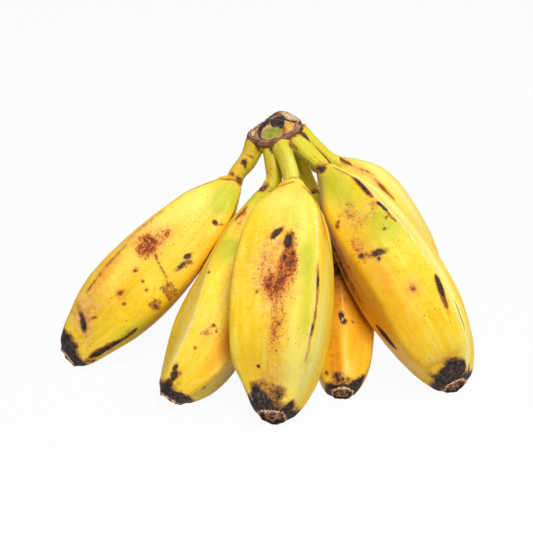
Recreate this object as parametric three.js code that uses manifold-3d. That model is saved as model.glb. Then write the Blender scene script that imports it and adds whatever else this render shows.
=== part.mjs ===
// A hand of seven burro bananas on one cut crown, standing on the tips of its fingers.
// Millimetres, +Z up, the surface it stands on at z = 0, the near side towards -Y.
import * as THREE from 'three';
import Module from 'manifold-3d';
import { mergeVertices } from 'three/addons/utils/BufferGeometryUtils.js';

const wasm = await Module();
wasm.setup();

const GAP = 0.3;                 // between the crown and the stalks that meet it

// The crown: a slab of cut stalk, its cut face tilted forwards.
const CROWN_CENTRE = new THREE.Vector3(0, 0, 106.5);
const CROWN_NORMAL = new THREE.Vector3(-0.12, -0.5, 0.86).normalize();
const CROWN_BAND = 4.2;          // height of the dried rim
const CROWN_DOME = 5;            // how far the underside swells below the rim
const CROWN_DISH = 1.2;          // depth of the dished cut face
const CROWN_MIDDLE = [0, 4];     // middle of the cut face: across, up the slope
const CROWN_OUTLINE = [          // corners of the cut face, each across, up the slope
  [-13.6, 0], [-8.6, 5.8], [-3, 10.8], [2, 14], [7.4, 12.2], [11.8, 8], [13, 3.6],
  [8.4, -1.4], [2.5, -4.9], [-4, -6.4], [-9.8, -4.6],
];
const CROWN_SIDES = 40;
const CROWN_LEVELS = [           // share of the outline's size, depth below the cut face
  [0.45, CROWN_DISH],
  [0.75, CROWN_DISH * 0.7],
  [0.92, 0.1],
  [0.99, 0.4],
  [1, 1.2],
  [0.985, CROWN_BAND * 0.7],
  [0.93, CROWN_BAND],
  [0.75, CROWN_BAND + CROWN_DOME * 0.5],
  [0.4, CROWN_BAND + CROWN_DOME * 0.9],
];

// Every finger is one skin along one curve: a round stalk, a faceted body and a blunt tip.
const ROOT_DEPTH = 5.2;          // how far below the cut face the stalks begin
const ROOT_RADIUS = 3.35;
const STALK_RADIUS = 4;
const NUB_LENGTH = 1.2;          // the flower scar beyond the last ring
const SIDES = 24;
const STALK_RINGS = 6;
const BODY_RINGS = 22;
const END_CROWDING = 0.55;       // how much closer the rings stand near the neck and the tip
const RIDGE_ROUNDING = 5;        // higher gives sharper ridges between the facets
const PROFILE = [                // share of the body's length, share of its full radius
  [0, 0.2], [0.05, 0.39], [0.11, 0.56], [0.19, 0.73], [0.3, 0.87], [0.43, 0.97], [0.56, 1],
  [0.67, 0.98], [0.77, 0.91], [0.85, 0.79], [0.92, 0.63], [0.965, 0.49], [0.99, 0.37], [1, 0.27],
];

// root: place under the crown, across and up the slope; neck, belly, tip: points of the curve;
// facets: the angle each flat side faces, from the upper side, and its distance at the belly.
const FINGERS = [
  {
    name: 'banana_front', root: [4, -4.4],
    neck: [7.8, -26, 88.5], belly: [4.9, -76.5, 52.3], tip: [-0.8, -109, 2.0],
    facets: [[5, 22.2], [-83, 22.6], [92, 22.2], [140, 17], [-145, 18]],
  },
  {
    name: 'banana_front_left', root: [-2.7, -1.2],
    neck: [-4, -15, 79], belly: [-23.2, -55, 36], tip: [-46.5, -92, 4.1],
    facets: [[-22, 19.8], [52, 19.6], [-100, 17], [118, 17.5], [-165, 17]],
  },
  {
    name: 'banana_left', root: [-10, -0.5],
    neck: [-19.7, -6, 82.5], belly: [-60, -27.5, 43.5], tip: [-104, -48.5, 2.7],
    facets: [[-57, 18.5], [32, 20.2], [-150, 16.5], [102, 17], [165, 17]],
  },
  {
    name: 'banana_front_right', root: [4.2, 3],
    neck: [19.6, 2, 74.5], belly: [30.3, -36, 34.7], tip: [34, -88, 3.9],
    facets: [[42, 16], [-30, 16], [112, 16], [-100, 15.5], [-172, 16]],
  },
  {
    name: 'banana_right', root: [10.6, -0.8],
    neck: [25, -13, 92], belly: [55, -56, 53.5], tip: [89.5, -79, 2.1],
    facets: [[40, 21], [-30, 21], [-100, 18], [112, 19.5], [180, 17]],
  },
  {
    name: 'banana_back_right', root: [11.5, 6],
    neck: [33.3, 4, 86.5], belly: [54.5, 2.5, 54], tip: [81, -3, 1.2],
    facets: [[0, 19.5], [72, 18], [-72, 18], [145, 15], [-145, 16]],
  },
  {
    name: 'banana_back', root: [4, 10.2],
    neck: [25, 27, 76.5], belly: [51.5, 49, 42], tip: [75, 75, 3.4],
    facets: [[0, 19.5], [72, 19], [-72, 19], [145, 19], [-145, 19]],
  },
];

const PEEL = { color: 0xf5cb3c, roughness: 0.5, metalness: 0 };
const DRIED_STALK = { color: 0x8a6348, roughness: 0.85, metalness: 0 };

// The crown's own axes.
const across = new THREE.Vector3(1, 0, 0).projectOnPlane(CROWN_NORMAL).normalize();
const upSlope = new THREE.Vector3().crossVectors(CROWN_NORMAL, across);

function crownPoint(u, v, depth) {
  return CROWN_CENTRE.clone()
    .addScaledVector(across, u)
    .addScaledVector(upSlope, v)
    .addScaledVector(CROWN_NORMAL, -depth);
}

// The value at x between hand-set points, in cubic pieces that share their slopes.
function smoothValue(points, x) {
  const last = points.length - 1;
  const at = (i) => points[THREE.MathUtils.clamp(i, 0, last)];
  const slope = (i) => (at(i + 1)[1] - at(i - 1)[1]) / (at(i + 1)[0] - at(i - 1)[0]);
  let i = 0;
  while (i < last - 1 && points[i + 1][0] < x) i += 1;
  const width = points[i + 1][0] - points[i][0];
  const rise = points[i + 1][1] - points[i][1];
  const leave = slope(i) * width;
  const arrive = slope(i + 1) * width;
  const t = (x - points[i][0]) / width;
  const bend = 3 * rise - 2 * leave - arrive;
  const twist = leave + arrive - 2 * rise;
  return points[i][1] + t * (leave + t * (bend + t * twist));
}

// How far the faceted outline lies from the curve at the belly, at an angle.
function facetRadius(facets, angle) {
  let sum = 0;
  for (const [degrees, distance] of facets) {
    const facing = Math.cos(angle - THREE.MathUtils.degToRad(degrees));
    if (facing > 0) sum += (facing / distance) ** RIDGE_ROUNDING;
  }
  return sum ** (-1 / RIDGE_ROUNDING);
}

// A closed skin over rings of points, with a point at each end.
function skin(rings, start, end) {
  const sides = rings[0].length;
  const points = [...rings.flat(), start, end];
  const startIndex = rings.length * sides;
  const lastRing = startIndex - sides;
  const indices = [];
  for (let k = 0; k < sides; k += 1) {
    const next = (k + 1) % sides;
    indices.push(startIndex, next, k);
    for (let ring = 0; ring < lastRing; ring += sides) {
      const [a, b, c, d] = [ring + k, ring + next, ring + next + sides, ring + k + sides];
      indices.push(a, b, c, a, c, d);
    }
    indices.push(startIndex + 1, lastRing + k, lastRing + next);
  }
  const geometry = new THREE.BufferGeometry().setFromPoints(points);
  geometry.setIndex(indices);
  return geometry;
}

// Where the rings stand: place on the curve, share of the stalk's or the body's length.
function ringStations() {
  const stations = [];
  for (let i = 0; i < STALK_RINGS; i += 1) {
    const share = i / STALK_RINGS;
    stations.push({ place: share / 3, onBody: false, share });
  }
  for (let i = 0; i <= BODY_RINGS; i += 1) {
    const even = i / BODY_RINGS;
    const share = even - END_CROWDING * Math.sin(2 * Math.PI * even) / (2 * Math.PI);
    stations.push({ place: (1 + 2 * share) / 3, onBody: true, share });
  }
  return stations;
}

function fingerRadius(finger, station, angle) {
  if (!station.onBody) {
    return THREE.MathUtils.lerp(STALK_RADIUS, ROOT_RADIUS, (1 - station.share) ** 2);
  }
  const body = smoothValue(PROFILE, station.share) * facetRadius(finger.facets, angle);
  return Math.max(body, station.share === 0 ? STALK_RADIUS : 0);
}

// One finger. clearance is added to its radius and to its root end.
function fingerGeometry(finger, clearance = 0) {
  const root = crownPoint(...finger.root, ROOT_DEPTH);
  const [neck, belly, tip] = [finger.neck, finger.belly, finger.tip].map((p) => new THREE.Vector3(...p));
  const curve = new THREE.CatmullRomCurve3([root, neck, belly, tip], false, 'centripetal');
  const chord = tip.clone().sub(neck).normalize();
  const upper = new THREE.Vector3(0, 0, 1).projectOnPlane(chord);
  const rings = ringStations().map((station) => {
    const tangent = curve.getTangent(station.place);
    const centre = curve.getPoint(station.place);
    if (station.place === 0) centre.addScaledVector(tangent, -clearance);
    const up = upper.clone().projectOnPlane(tangent).normalize();
    const side = new THREE.Vector3().crossVectors(tangent, up);
    return Array.from({ length: SIDES }, (_, k) => {
      const angle = 2 * Math.PI * k / SIDES;
      const radius = fingerRadius(finger, station, angle) + clearance;
      const point = centre.clone()
        .addScaledVector(up, radius * Math.cos(angle))
        .addScaledVector(side, radius * Math.sin(angle));
      return settled(point);
    });
  });
  const start = root.clone().addScaledVector(curve.getTangent(0), -clearance);
  const end = tip.clone().addScaledVector(curve.getTangent(1), NUB_LENGTH);
  return skin(rings, start, settled(end));
}

// The soft tips flatten where they rest.
function settled(point) {
  point.z = Math.max(point.z, 0);
  return point;
}

function solidOf(geometry) {
  const merged = mergeVertices(geometry);
  return new wasm.Manifold(new wasm.Mesh({
    numProp: 3,
    vertProperties: new Float32Array(merged.attributes.position.array),
    triVerts: new Uint32Array(merged.index.array),
  }));
}

function geometryOf(solid) {
  const { vertProperties, triVerts } = solid.getMesh();
  const geometry = new THREE.BufferGeometry();
  geometry.setAttribute('position', new THREE.BufferAttribute(new Float32Array(vertProperties), 3));
  geometry.setIndex(new THREE.BufferAttribute(new Uint32Array(triVerts), 1));
  return geometry;
}

// The crown: a dished cut face, a dried rim and a swollen underside with a socket for each stalk.
function crownGeometry() {
  const corners = CROWN_OUTLINE.map(([u, v]) => new THREE.Vector3(u, v, 0));
  const outline = new THREE.CatmullRomCurve3(corners, true).getSpacedPoints(CROWN_SIDES);
  outline.pop();
  const middle = new THREE.Vector3(...CROWN_MIDDLE, 0);
  const rings = CROWN_LEVELS.map(([share, depth]) => outline.map((corner) => {
    const place = middle.clone().lerp(corner, share);
    return crownPoint(place.x, place.y, depth);
  }));
  const top = crownPoint(...CROWN_MIDDLE, CROWN_DISH);
  const bottom = crownPoint(...CROWN_MIDDLE, CROWN_BAND + CROWN_DOME);
  const slab = solidOf(skin(rings, top, bottom));
  const sockets = FINGERS.map((finger) => solidOf(fingerGeometry(finger, GAP)));
  return geometryOf(sockets.reduce((crown, socket) => crown.subtract(socket), slab));
}

const hand = new THREE.Group();

function add(name, geometry, finish) {
  const mesh = new THREE.Mesh(geometry, new THREE.MeshStandardMaterial(finish));
  mesh.name = name;
  hand.add(mesh);
}

add('crown', crownGeometry(), DRIED_STALK);
for (const finger of FINGERS) add(finger.name, fingerGeometry(finger), PEEL);

// The origin is the middle of the footprint.
const middle = new THREE.Box3().setFromObject(hand).getCenter(new THREE.Vector3());
hand.position.set(-middle.x, -middle.y, 0);

export default hand;
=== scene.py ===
"""A hand of burro bananas, standing on its fingertips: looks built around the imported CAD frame."""
import math

import bpy
import numpy as np
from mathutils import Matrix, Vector


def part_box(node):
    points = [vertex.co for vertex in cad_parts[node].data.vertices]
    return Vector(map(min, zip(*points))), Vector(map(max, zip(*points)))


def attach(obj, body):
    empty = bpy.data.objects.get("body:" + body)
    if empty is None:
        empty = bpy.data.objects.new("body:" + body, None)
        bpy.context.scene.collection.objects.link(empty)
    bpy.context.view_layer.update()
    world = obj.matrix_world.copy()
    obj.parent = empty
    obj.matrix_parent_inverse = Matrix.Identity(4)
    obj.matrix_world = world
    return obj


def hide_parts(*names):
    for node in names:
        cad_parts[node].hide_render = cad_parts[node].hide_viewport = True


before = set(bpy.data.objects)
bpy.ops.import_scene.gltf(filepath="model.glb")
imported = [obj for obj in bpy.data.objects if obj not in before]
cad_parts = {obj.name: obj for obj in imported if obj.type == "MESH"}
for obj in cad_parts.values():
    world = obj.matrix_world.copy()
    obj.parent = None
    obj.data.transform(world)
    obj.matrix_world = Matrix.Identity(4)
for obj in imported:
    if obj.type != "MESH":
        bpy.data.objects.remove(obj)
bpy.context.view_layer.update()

MM = 0.001                       # lengths are in millimetres up to the making of a mesh
FINGERS = ("banana_front", "banana_front_left", "banana_left", "banana_front_right",
           "banana_right", "banana_back_right", "banana_back")

# ---------------------------------------------------------------- small tools

HASH_STEPS = np.array([374761393, 668265263, 2147483629])
HASH_SEED = 974711
HASH_MIX = 1274126177
LOW_32_BITS = 0xFFFFFFFF
LOW_16_BITS = 0xFFFF


def smooth(x, low, high):
    """0 at low, 1 at high, with an easy slope at both."""
    t = np.clip((x - low) / (high - low), 0.0, 1.0)
    return t * t * (3.0 - 2.0 * t)


def stacked(*parts):
    """Arrays of any fitting shapes as the last axis of one array."""
    return np.stack(np.broadcast_arrays(*parts), axis=-1)


def unit(v):
    return v / np.linalg.norm(v, axis=-1, keepdims=True)


def lattice(cell, seed):
    """A fixed value from -1 to 1 for each whole-number cell."""
    h = (cell @ HASH_STEPS + seed * HASH_SEED) & LOW_32_BITS
    h = ((h ^ (h >> 13)) * HASH_MIX) & LOW_32_BITS
    return ((h ^ (h >> 16)) & LOW_16_BITS) / (LOW_16_BITS / 2.0) - 1.0


def noise(points, size, seed):
    """Smooth noise from about -1 to 1, with features about size millimetres across."""
    at = points / size
    cell = np.floor(at).astype(np.int64)
    f = at - cell
    f = f * f * f * (f * (f * 6.0 - 15.0) + 10.0)
    total = 0.0
    for corner in np.ndindex(2, 2, 2):
        total = total + np.where(corner, f, 1.0 - f).prod(axis=-1) * lattice(cell + corner, seed)
    return total


def spline_weights(knots, at):
    """A matrix that takes values at the knots to values at the places at, on a natural cubic."""
    n = len(knots)
    h = np.diff(knots)
    a = np.zeros((n, n))
    b = np.zeros((n, n))
    a[0, 0] = a[-1, -1] = 1.0
    for i in range(1, n - 1):
        a[i, i - 1:i + 2] = h[i - 1], 2.0 * (h[i - 1] + h[i]), h[i]
        b[i, i - 1:i + 2] = 6.0 / h[i - 1], -6.0 / h[i - 1] - 6.0 / h[i], 6.0 / h[i]
    second = np.linalg.solve(a, b)
    k = np.clip(np.searchsorted(knots, at, side="right") - 1, 0, n - 2)
    rows = np.arange(len(at))
    w = np.zeros((len(at), n))
    for end, gap in ((k, knots[k + 1] - at), (k + 1, at - knots[k])):
        w[rows, end] += gap / h[k]
        w += ((gap ** 3 / h[k] - gap * h[k]) / 6.0)[:, None] * second[end]
    return w


# ---------------------------------------------------------------- the CAD finger's rings

WELD_STEPS = 1000                # points less than about 1 / 1000 mm apart are one


def welded(node):
    """A node's points in millimetres, each once, and its triangles."""
    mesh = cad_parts[node].data
    points = np.zeros(len(mesh.vertices) * 3, np.float32)
    mesh.vertices.foreach_get("co", points)
    points = points.reshape(-1, 3).astype(float) / MM
    _, first, inverse = np.unique(np.round(points * WELD_STEPS).astype(np.int64), axis=0,
                                  return_index=True, return_inverse=True)
    triangles = [[int(inverse.ravel()[v]) for v in p.vertices] for p in mesh.polygons]
    return points[first], triangles


def turned(ring, like):
    """The ring, started and wound so that it lies closest to another one about its middle."""
    tries = [np.roll(r, -k, axis=0) for r in (ring, ring[::-1]) for k in range(len(ring))]
    gaps = [((t - t.mean(0) - like) ** 2).sum() for t in tries]
    return tries[int(np.argmin(gaps))]


def rings_of(node):
    """The rings of the finger's skin from the stalk to the tip, each from its upper side round."""
    points, triangles = welded(node)
    near = [set() for _ in points]
    for t in triangles:
        for v in t:
            near[v].update(w for w in t if w != v)
    # The two poles have the most neighbours. Each ring is the next layer out from the tip.
    sides = max(len(n) for n in near)
    poles = sorted((i for i, n in enumerate(near) if len(n) == sides), key=lambda i: points[i][2])
    tip, root = poles[0], poles[-1]
    seen, layer, rings = {tip}, near[tip], []
    while layer and layer != {root}:
        loop = [min(layer)]
        while len(loop) < len(layer):
            step = [w for w in near[loop[-1]] & layer if w not in loop[-2:]]
            loop.append(step[0])
        rings.append(points[loop])
        seen |= layer
        layer = {w for v in layer for w in near[v]} - seen
    rings = np.array(rings[::-1])
    # The widest ring starts at the upper side, and the others follow it.
    wide = int(np.argmax([np.ptp(r, axis=0).sum() for r in rings]))
    centres = rings.mean(axis=1)
    along = unit(centres[wide + 1] - centres[wide - 1])
    chord = unit(centres[-1] - centres[len(rings) // 4])
    up = np.array([0.0, 0.0, 1.0])
    up = unit(up - chord * up.dot(chord))
    turn = 2.0 * np.pi * np.arange(sides)[:, None] / sides
    size = np.linalg.norm(rings[wide] - centres[wide], axis=1).mean()
    rings[wide] = turned(rings[wide], size * (np.cos(turn) * up + np.sin(turn) * np.cross(along, up)))
    for order in (range(wide + 1, len(rings)), range(wide - 1, -1, -1)):
        for i in order:
            like = rings[i - order.step]
            rings[i] = turned(rings[i], like - like.mean(0))
    return rings


def middles(rings):
    """Where the lines between opposite points of each ring cross."""
    half = rings.shape[1] // 2
    found = []
    for ring in rings:
        a, d = ring[:half], unit(ring[half:] - ring[:half])
        m = np.eye(3)[None] - d[:, :, None] * d[:, None, :]
        found.append(np.linalg.solve(m.sum(0), (m @ a[:, :, None]).sum(0)).ravel())
    return np.array(found)


# ---------------------------------------------------------------- meshes

MAP_START = 0.02                 # where the rows start and how far they reach on the UV map
MAP_REACH = 0.96


def grid_mesh(name, points, start, end, fields):
    """A closed skin over rows of points, with a point at each end, its UV map and its fields."""
    rows, sides = points.shape[:2]
    index = np.arange(rows * sides).reshape(rows, sides)
    following = np.roll(index, -1, axis=1)
    quads = stacked(index[:-1], following[:-1], following[1:], index[1:]).reshape(-1, 4)
    caps = np.concatenate([stacked(rows * sides, following[0], index[0]),
                           stacked(rows * sides + 1, index[-1], following[-1])])
    mesh = bpy.data.meshes.new(name)
    co = np.concatenate([points.reshape(-1, 3), [start, end]]) * MM
    mesh.vertices.add(len(co))
    mesh.vertices.foreach_set("co", co.astype(np.float32).ravel())
    loops = np.concatenate([quads.ravel(), caps.ravel()])
    totals = np.concatenate([np.full(len(quads), 4), np.full(len(caps), 3)])
    starts = np.concatenate([[0], np.cumsum(totals)[:-1]])
    mesh.loops.add(len(loops))
    mesh.loops.foreach_set("vertex_index", loops.astype(np.int32))
    mesh.polygons.add(len(totals))
    mesh.polygons.foreach_set("loop_start", starts.astype(np.int32))
    mesh.update(calc_edges=True)
    mesh.polygons.foreach_set("use_smooth", np.ones(len(totals), bool))
    # The map has one column more than the rings have points: the last side ends at its far edge.
    u = np.arange(sides + 1) / sides
    grid = stacked(u, (MAP_START + MAP_REACH * np.arange(rows) / (rows - 1))[:, None])
    between = (u[:-1] + u[1:]) / 2.0
    sheets = [np.stack([grid[:-1, :-1], grid[:-1, 1:], grid[1:, 1:], grid[1:, :-1]], axis=2),
              np.stack([stacked(between, 0.0), grid[0, 1:], grid[0, :-1]], axis=1),
              np.stack([stacked(between, 1.0), grid[-1, :-1], grid[-1, 1:]], axis=1)]
    flat = np.concatenate([sheet.reshape(-1, 2) for sheet in sheets])
    mesh.uv_layers.new(name="OFBake").uv.foreach_set("vector", flat.astype(np.float32).ravel())
    for field, values in fields.items():
        made = mesh.attributes.new(field, "FLOAT_VECTOR", "POINT")
        ends = [values[0].mean(0), values[-1].mean(0)]
        everywhere = np.concatenate([values.reshape(-1, 3), ends])
        made.data.foreach_set("vector", everywhere.astype(np.float32).ravel())
    mesh.validate()
    piece = bpy.data.objects.new(name, mesh)
    bpy.context.scene.collection.objects.link(piece)
    return piece


# ---------------------------------------------------------------- the look of each finger

# A place on a finger is (s, turn). s runs from -1 at the crown through 0 at the neck, where the
# stalk meets the body, to 1 at the tip. turn is in degrees round the finger from its upper side.
# Sizes are in millimetres.
#   facets      (turn it faces, distance from the middle at the belly) of each flat side
#   twist       (s, degrees): how the ridges wander; without it they run straight
#   bow         (s, x, y, z): how far the finger's middle line is moved from the CAD one
#   swell       (s, size): what is added to the radius
#   stalk       the stalk's radius, where it is not STALK_RADIUS
#   set_back    how much sooner the upper side ends at the tip; below 0 it is the lower side
#   tints       soft patches by kind: (s, turn, length, width, strength), some with a tilt
#   blots       sharp-edged ovals by kind: (s, turn, length, width), some with a tilt
#   cracks      tapering lines along the finger by kind: (half width, place, place, ...)
#   scratches   lines in any direction, written in the same way
# Some tints stand in for light: the pale ones are painted highlights, and some orange, bruise and char ones
# are painted shade in the gaps between fingers and under the crown.
LOOKS = {}
LOOKS["banana_front"] = {
    "facets": [(5, 22.2), (-83, 22.6), (92, 22.2), (140, 17), (-145, 18)],
    "twist": [(0, 5), (0.7, 5), (0.8, 8), (1, 6)],
    "bow": [
        (-1, -1.3, 0.8, -1.4), (-0.5, -0.3, 0, 0), (0.03, 0.5, 0, 0), (0.3, 0, 0, 0), (0.7, 0, 0, 0),
        (0.87, 0.6, -0.6, -0.3), (1, -0.7, -5.2, 2.2),
    ],
    "swell": [(-1, 1), (-0.8, 0.5), (-0.5, 0.2), (0, 0), (0.3, 0), (0.7, 0), (0.87, -0.5), (1, 0.3)],
    "set_back": 0.5,
    "tints": {
        "green": [
            (0.24, 6, 13, 11, 0.5), (0.45, -25, 20, 8, 0.75), (0.5, -22, 50, 10, 0.25),
            (0.57, -28, 34, 6, 0.5), (0.66, -31, 10, 5, 0.5), (0.78, -32, 16, 4, 0.6),
            (0.975, -52, 5, 4, 0.7), (-0.85, 0, 12, 14, 0.6),
        ],
        # pale: painted highlights on the lit sides, the ridges and the stalk
        "pale": [
            (0.18, 10, 34, 24, 0.6), (0.36, -20, 50, 8, 0.6), (0.62, -18, 50, 7, 0.45),
            (0.84, -24, 40, 13, 0.7), (0.5, -60, 90, 12, 0.4), (0.72, -46, 60, 10, 0.8),
            (-0.35, -10, 30, 12, 0.9),
        ],
        "orange": [
            (0.8, 30, 60, 16, 0.25), (0.29, -50, 24, 6, 0.9), (0.4, 62, 80, 10, 0.35),
            (0.04, 30, 9, 6, 0.7), (-0.6, 20, 16, 6, 0.3),
        ],
        "halo": [
            (0.4, 8, 32, 15, 0.7), (0.48, 14, 34, 22, 0.95), (0.54, 6, 20, 17, 0.85),
            (0.67, 3, 32, 10, 0.8), (0.87, 6, 24, 16, 0.75), (0.945, 4, 10, 12, 0.6),
        ],
        "bruise": [
            (0.3, -60, 26, 8, 0.5), (0.37, -5, 9, 5, 0.8), (0.42, -6, 12, 5, 0.8),
            (0.457, -4, 11, 7, 1.1), (0.5, -2, 14, 9, 1), (0.553, 8, 11, 10, 1), (0.53, 16, 9, 5, 0.7),
            (0.47, -13, 22, 5, 0.5), (0.47, 24, 26, 10, 0.35), (0.5, 4, 46, 30, 0.2),
            (0.67, 4, 28, 7, 0.7), (0.64, -6, 14, 4, 0.45), (0.8, 10, 50, 40, 0.12),
        ],
        "char": [
            (0.974, 19, 7.5, 7.6, 1.2), (0.93, 39, 8, 4, 0.7), (0.955, 37, 7, 5, 0.9),
            (0.975, 58, 8, 4, 1), (0.94, -12, 11, 5, 0.7), (0.91, 22, 12, 9, 0.45), (0.93, 3, 10, 7, 0.4),
            (0.974, -40, 5, 3.6, 1.1), (0.985, -76, 3, 8, 0.8), (0.998, 0, 1.2, 40, 0.4),
            (0.98, 110, 9, 30, 1.1), (0.98, -130, 9, 36, 1.1), (-0.8, -55, 8, 4, 0.6),
        ],
    },
    "blots": {
        "ink": [
            (0.353, 13, 6.8, 3.2, 34), (0.7, -150, 4, 1.6), (0.388, -4, 7.4, 3.6, -3),
            (0.452, -2, 3, 1.8), (0.44, -11, 1.6, 1.2), (0.818, 27, 1.2, 1),
        ],
        "brown": [(0.45, 150, 5, 2, 10), (0.36, -8, 3, 2), (0.565, 28, 1.4, 1.4, 20)],
    },
    "cracks": {
        "ink": [
            (0.35, (0.49, -34.2), (0.52, -34.5), (0.56, -35)),
            (0.3, (0.655, -33.5), (0.675, -33), (0.7, -32)),
        ],
        "brown": [
            (0.42, (0.47, -34), (0.53, -34.5), (0.58, -35), (0.61, -35)),
            (0.4, (0.59, -35), (0.63, -34.5), (0.67, -33.5)),
            (0.25, (0.69, -32), (0.74, -32), (0.79, -31)),
            (0.5, (0.08, -30), (0.14, -34), (0.2, -37), (0.26, -45), (0.33, -70), (0.4, -82)),
        ],
        "cream": [
            (0.35, (0.2, -33), (0.35, -33), (0.48, -32.5)),
            (0.4, (0.46, -32.3), (0.52, -32.6), (0.6, -33), (0.7, -30.5), (0.8, -29.5)),
            (0.4, (0.78, -30), (0.86, -32), (0.93, -40)), (0.28, (0.935, 51), (0.95, 51), (0.975, 50)),
            (0.15, (0.76, 52), (0.84, 51), (0.9, 50)),
        ],
    },
    "scratches": {
        "brown": [(0.3, (0.07, 40), (0.055, 25), (0.045, 5), (0.04, -10))],
    },
}
LOOKS["banana_front_left"] = {
    "facets": [(-22, 19.8), (52, 19.6), (-100, 17), (118, 17.5), (-165, 17)],
    "twist": [
        (0, -5), (0.25, 0), (0.42, 3), (0.56, -5), (0.65, -9), (0.75, -11), (0.84, -9), (0.9, -7),
        (1, -7),
    ],
    "bow": [
        (-1, 0.2, 0, -0.4), (-0.5, 1.6, 0, 0), (-0.2, 2.1, 0, 0), (0.05, -1.2, 0, 1), (0.3, -0.2, 0, 0),
        (0.65, 0.6, -1.5, 0.3), (0.85, 0.4, -3, 0.7), (1, -4.4, -3.4, -1),
    ],
    "swell": [(-1, 0), (0.3, 0), (0.7, 0), (0.87, 0), (1, 0.3)],
    "set_back": -4,
    "tints": {
        "green": [
            (0.33, 8, 18, 9, 0.4), (0.05, -2, 20, 30, 1), (0.33, 0, 12, 8, 1), (0.38, 4, 13, 7, 0.7),
            (0.45, 8, 50, 20, 0.25), (0.25, -30, 30, 14, 0.35), (-0.6, -40, 40, 14, 0.9),
        ],
        # pale: painted highlights, and painted light on the left side, which the next finger shades
        "pale": [
            (0.62, 30, 80, 9, 0.7), (0.5, 14, 60, 5, 0.2), (0.82, 12, 50, 6, 0.4),
            (0.6, -20, 40, 10, 0.3),
        ],
        "orange": [
            (0.74, -52, 40, 9, 0.9), (0.55, -50, 44, 8, 0.5), (0.78, 34, 40, 8, 0.4),
            (0.82, -20, 30, 16, 0.2), (0.5, 18, 40, 9, 0.25), (-0.3, 14, 34, 10, 0.5),
        ],
        "halo": [(0.18, 5, 20, 7, 0.9), (0.76, -20, 7, 5, 0.5)],
        "bruise": [(0.15, 8, 12, 4.4, 1), (0.22, 2, 16, 3, 0.45), (0.75, -30, 40, 26, 0.14)],
        "char": [
            (0.33, 8, 16, 8, 0.15), (0.99, -22, 4.6, 12, 1.2), (0.98, -48, 5, 6, 0.95),
            (0.968, -76, 3, 7, 1), (0.975, -2, 5, 5, 0.9), (0.955, -24, 8, 7, 0.35),
            (0.93, -14, 6, 3, 0.3), (0.985, 25, 5, 10, 0.7), (0.98, 80, 6, 16, 1.1),
            (0.985, 140, 7, 28, 1.1), (0.98, -140, 7, 26, 1.1), (0.012, 4, 3, 6, 0.8),
            (-0.04, -10, 3.4, 4, 0.6), (-0.78, -27, 9, 3.4, 0.7), (0, 150, 3, 20, 0.6),
            (-0.3, 24, 34, 8, 0.2), (0.55, 30, 6, 5, 0.4), (0.6, 31, 8, 4, 0.35),
        ],
    },
    "blots": {
        "ink": [
            (0.916, -1, 2.3, 1.4), (0.936, -6, 3.9, 2.6), (0.97, -4, 4.4, 3.2), (0.725, -23, 1.3, 1.3),
            (0.49, 12, 1, 0.9),
        ],
        "brown": [(0.741, -30, 1.1, 1.1), (0.83, -14, 1, 1), (0.909, -72, 1.2, 1.6)],
        "net": [(0.757, -19, 3.4, 2.6)],
    },
    "cracks": {
        "brown": [(0.6, (0.11, 10), (0.15, 10), (0.2, 12))],
        "cream": [
            (0.35, (0.38, 20), (0.48, 15), (0.56, 10), (0.65, 6), (0.72, 4)),
            (0.75, (0.66, 5), (0.77, 4), (0.84, 6), (0.91, 8)),
            (0.3, (0.75, -64), (0.82, -62), (0.9, -60)),
        ],
    },
}
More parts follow.
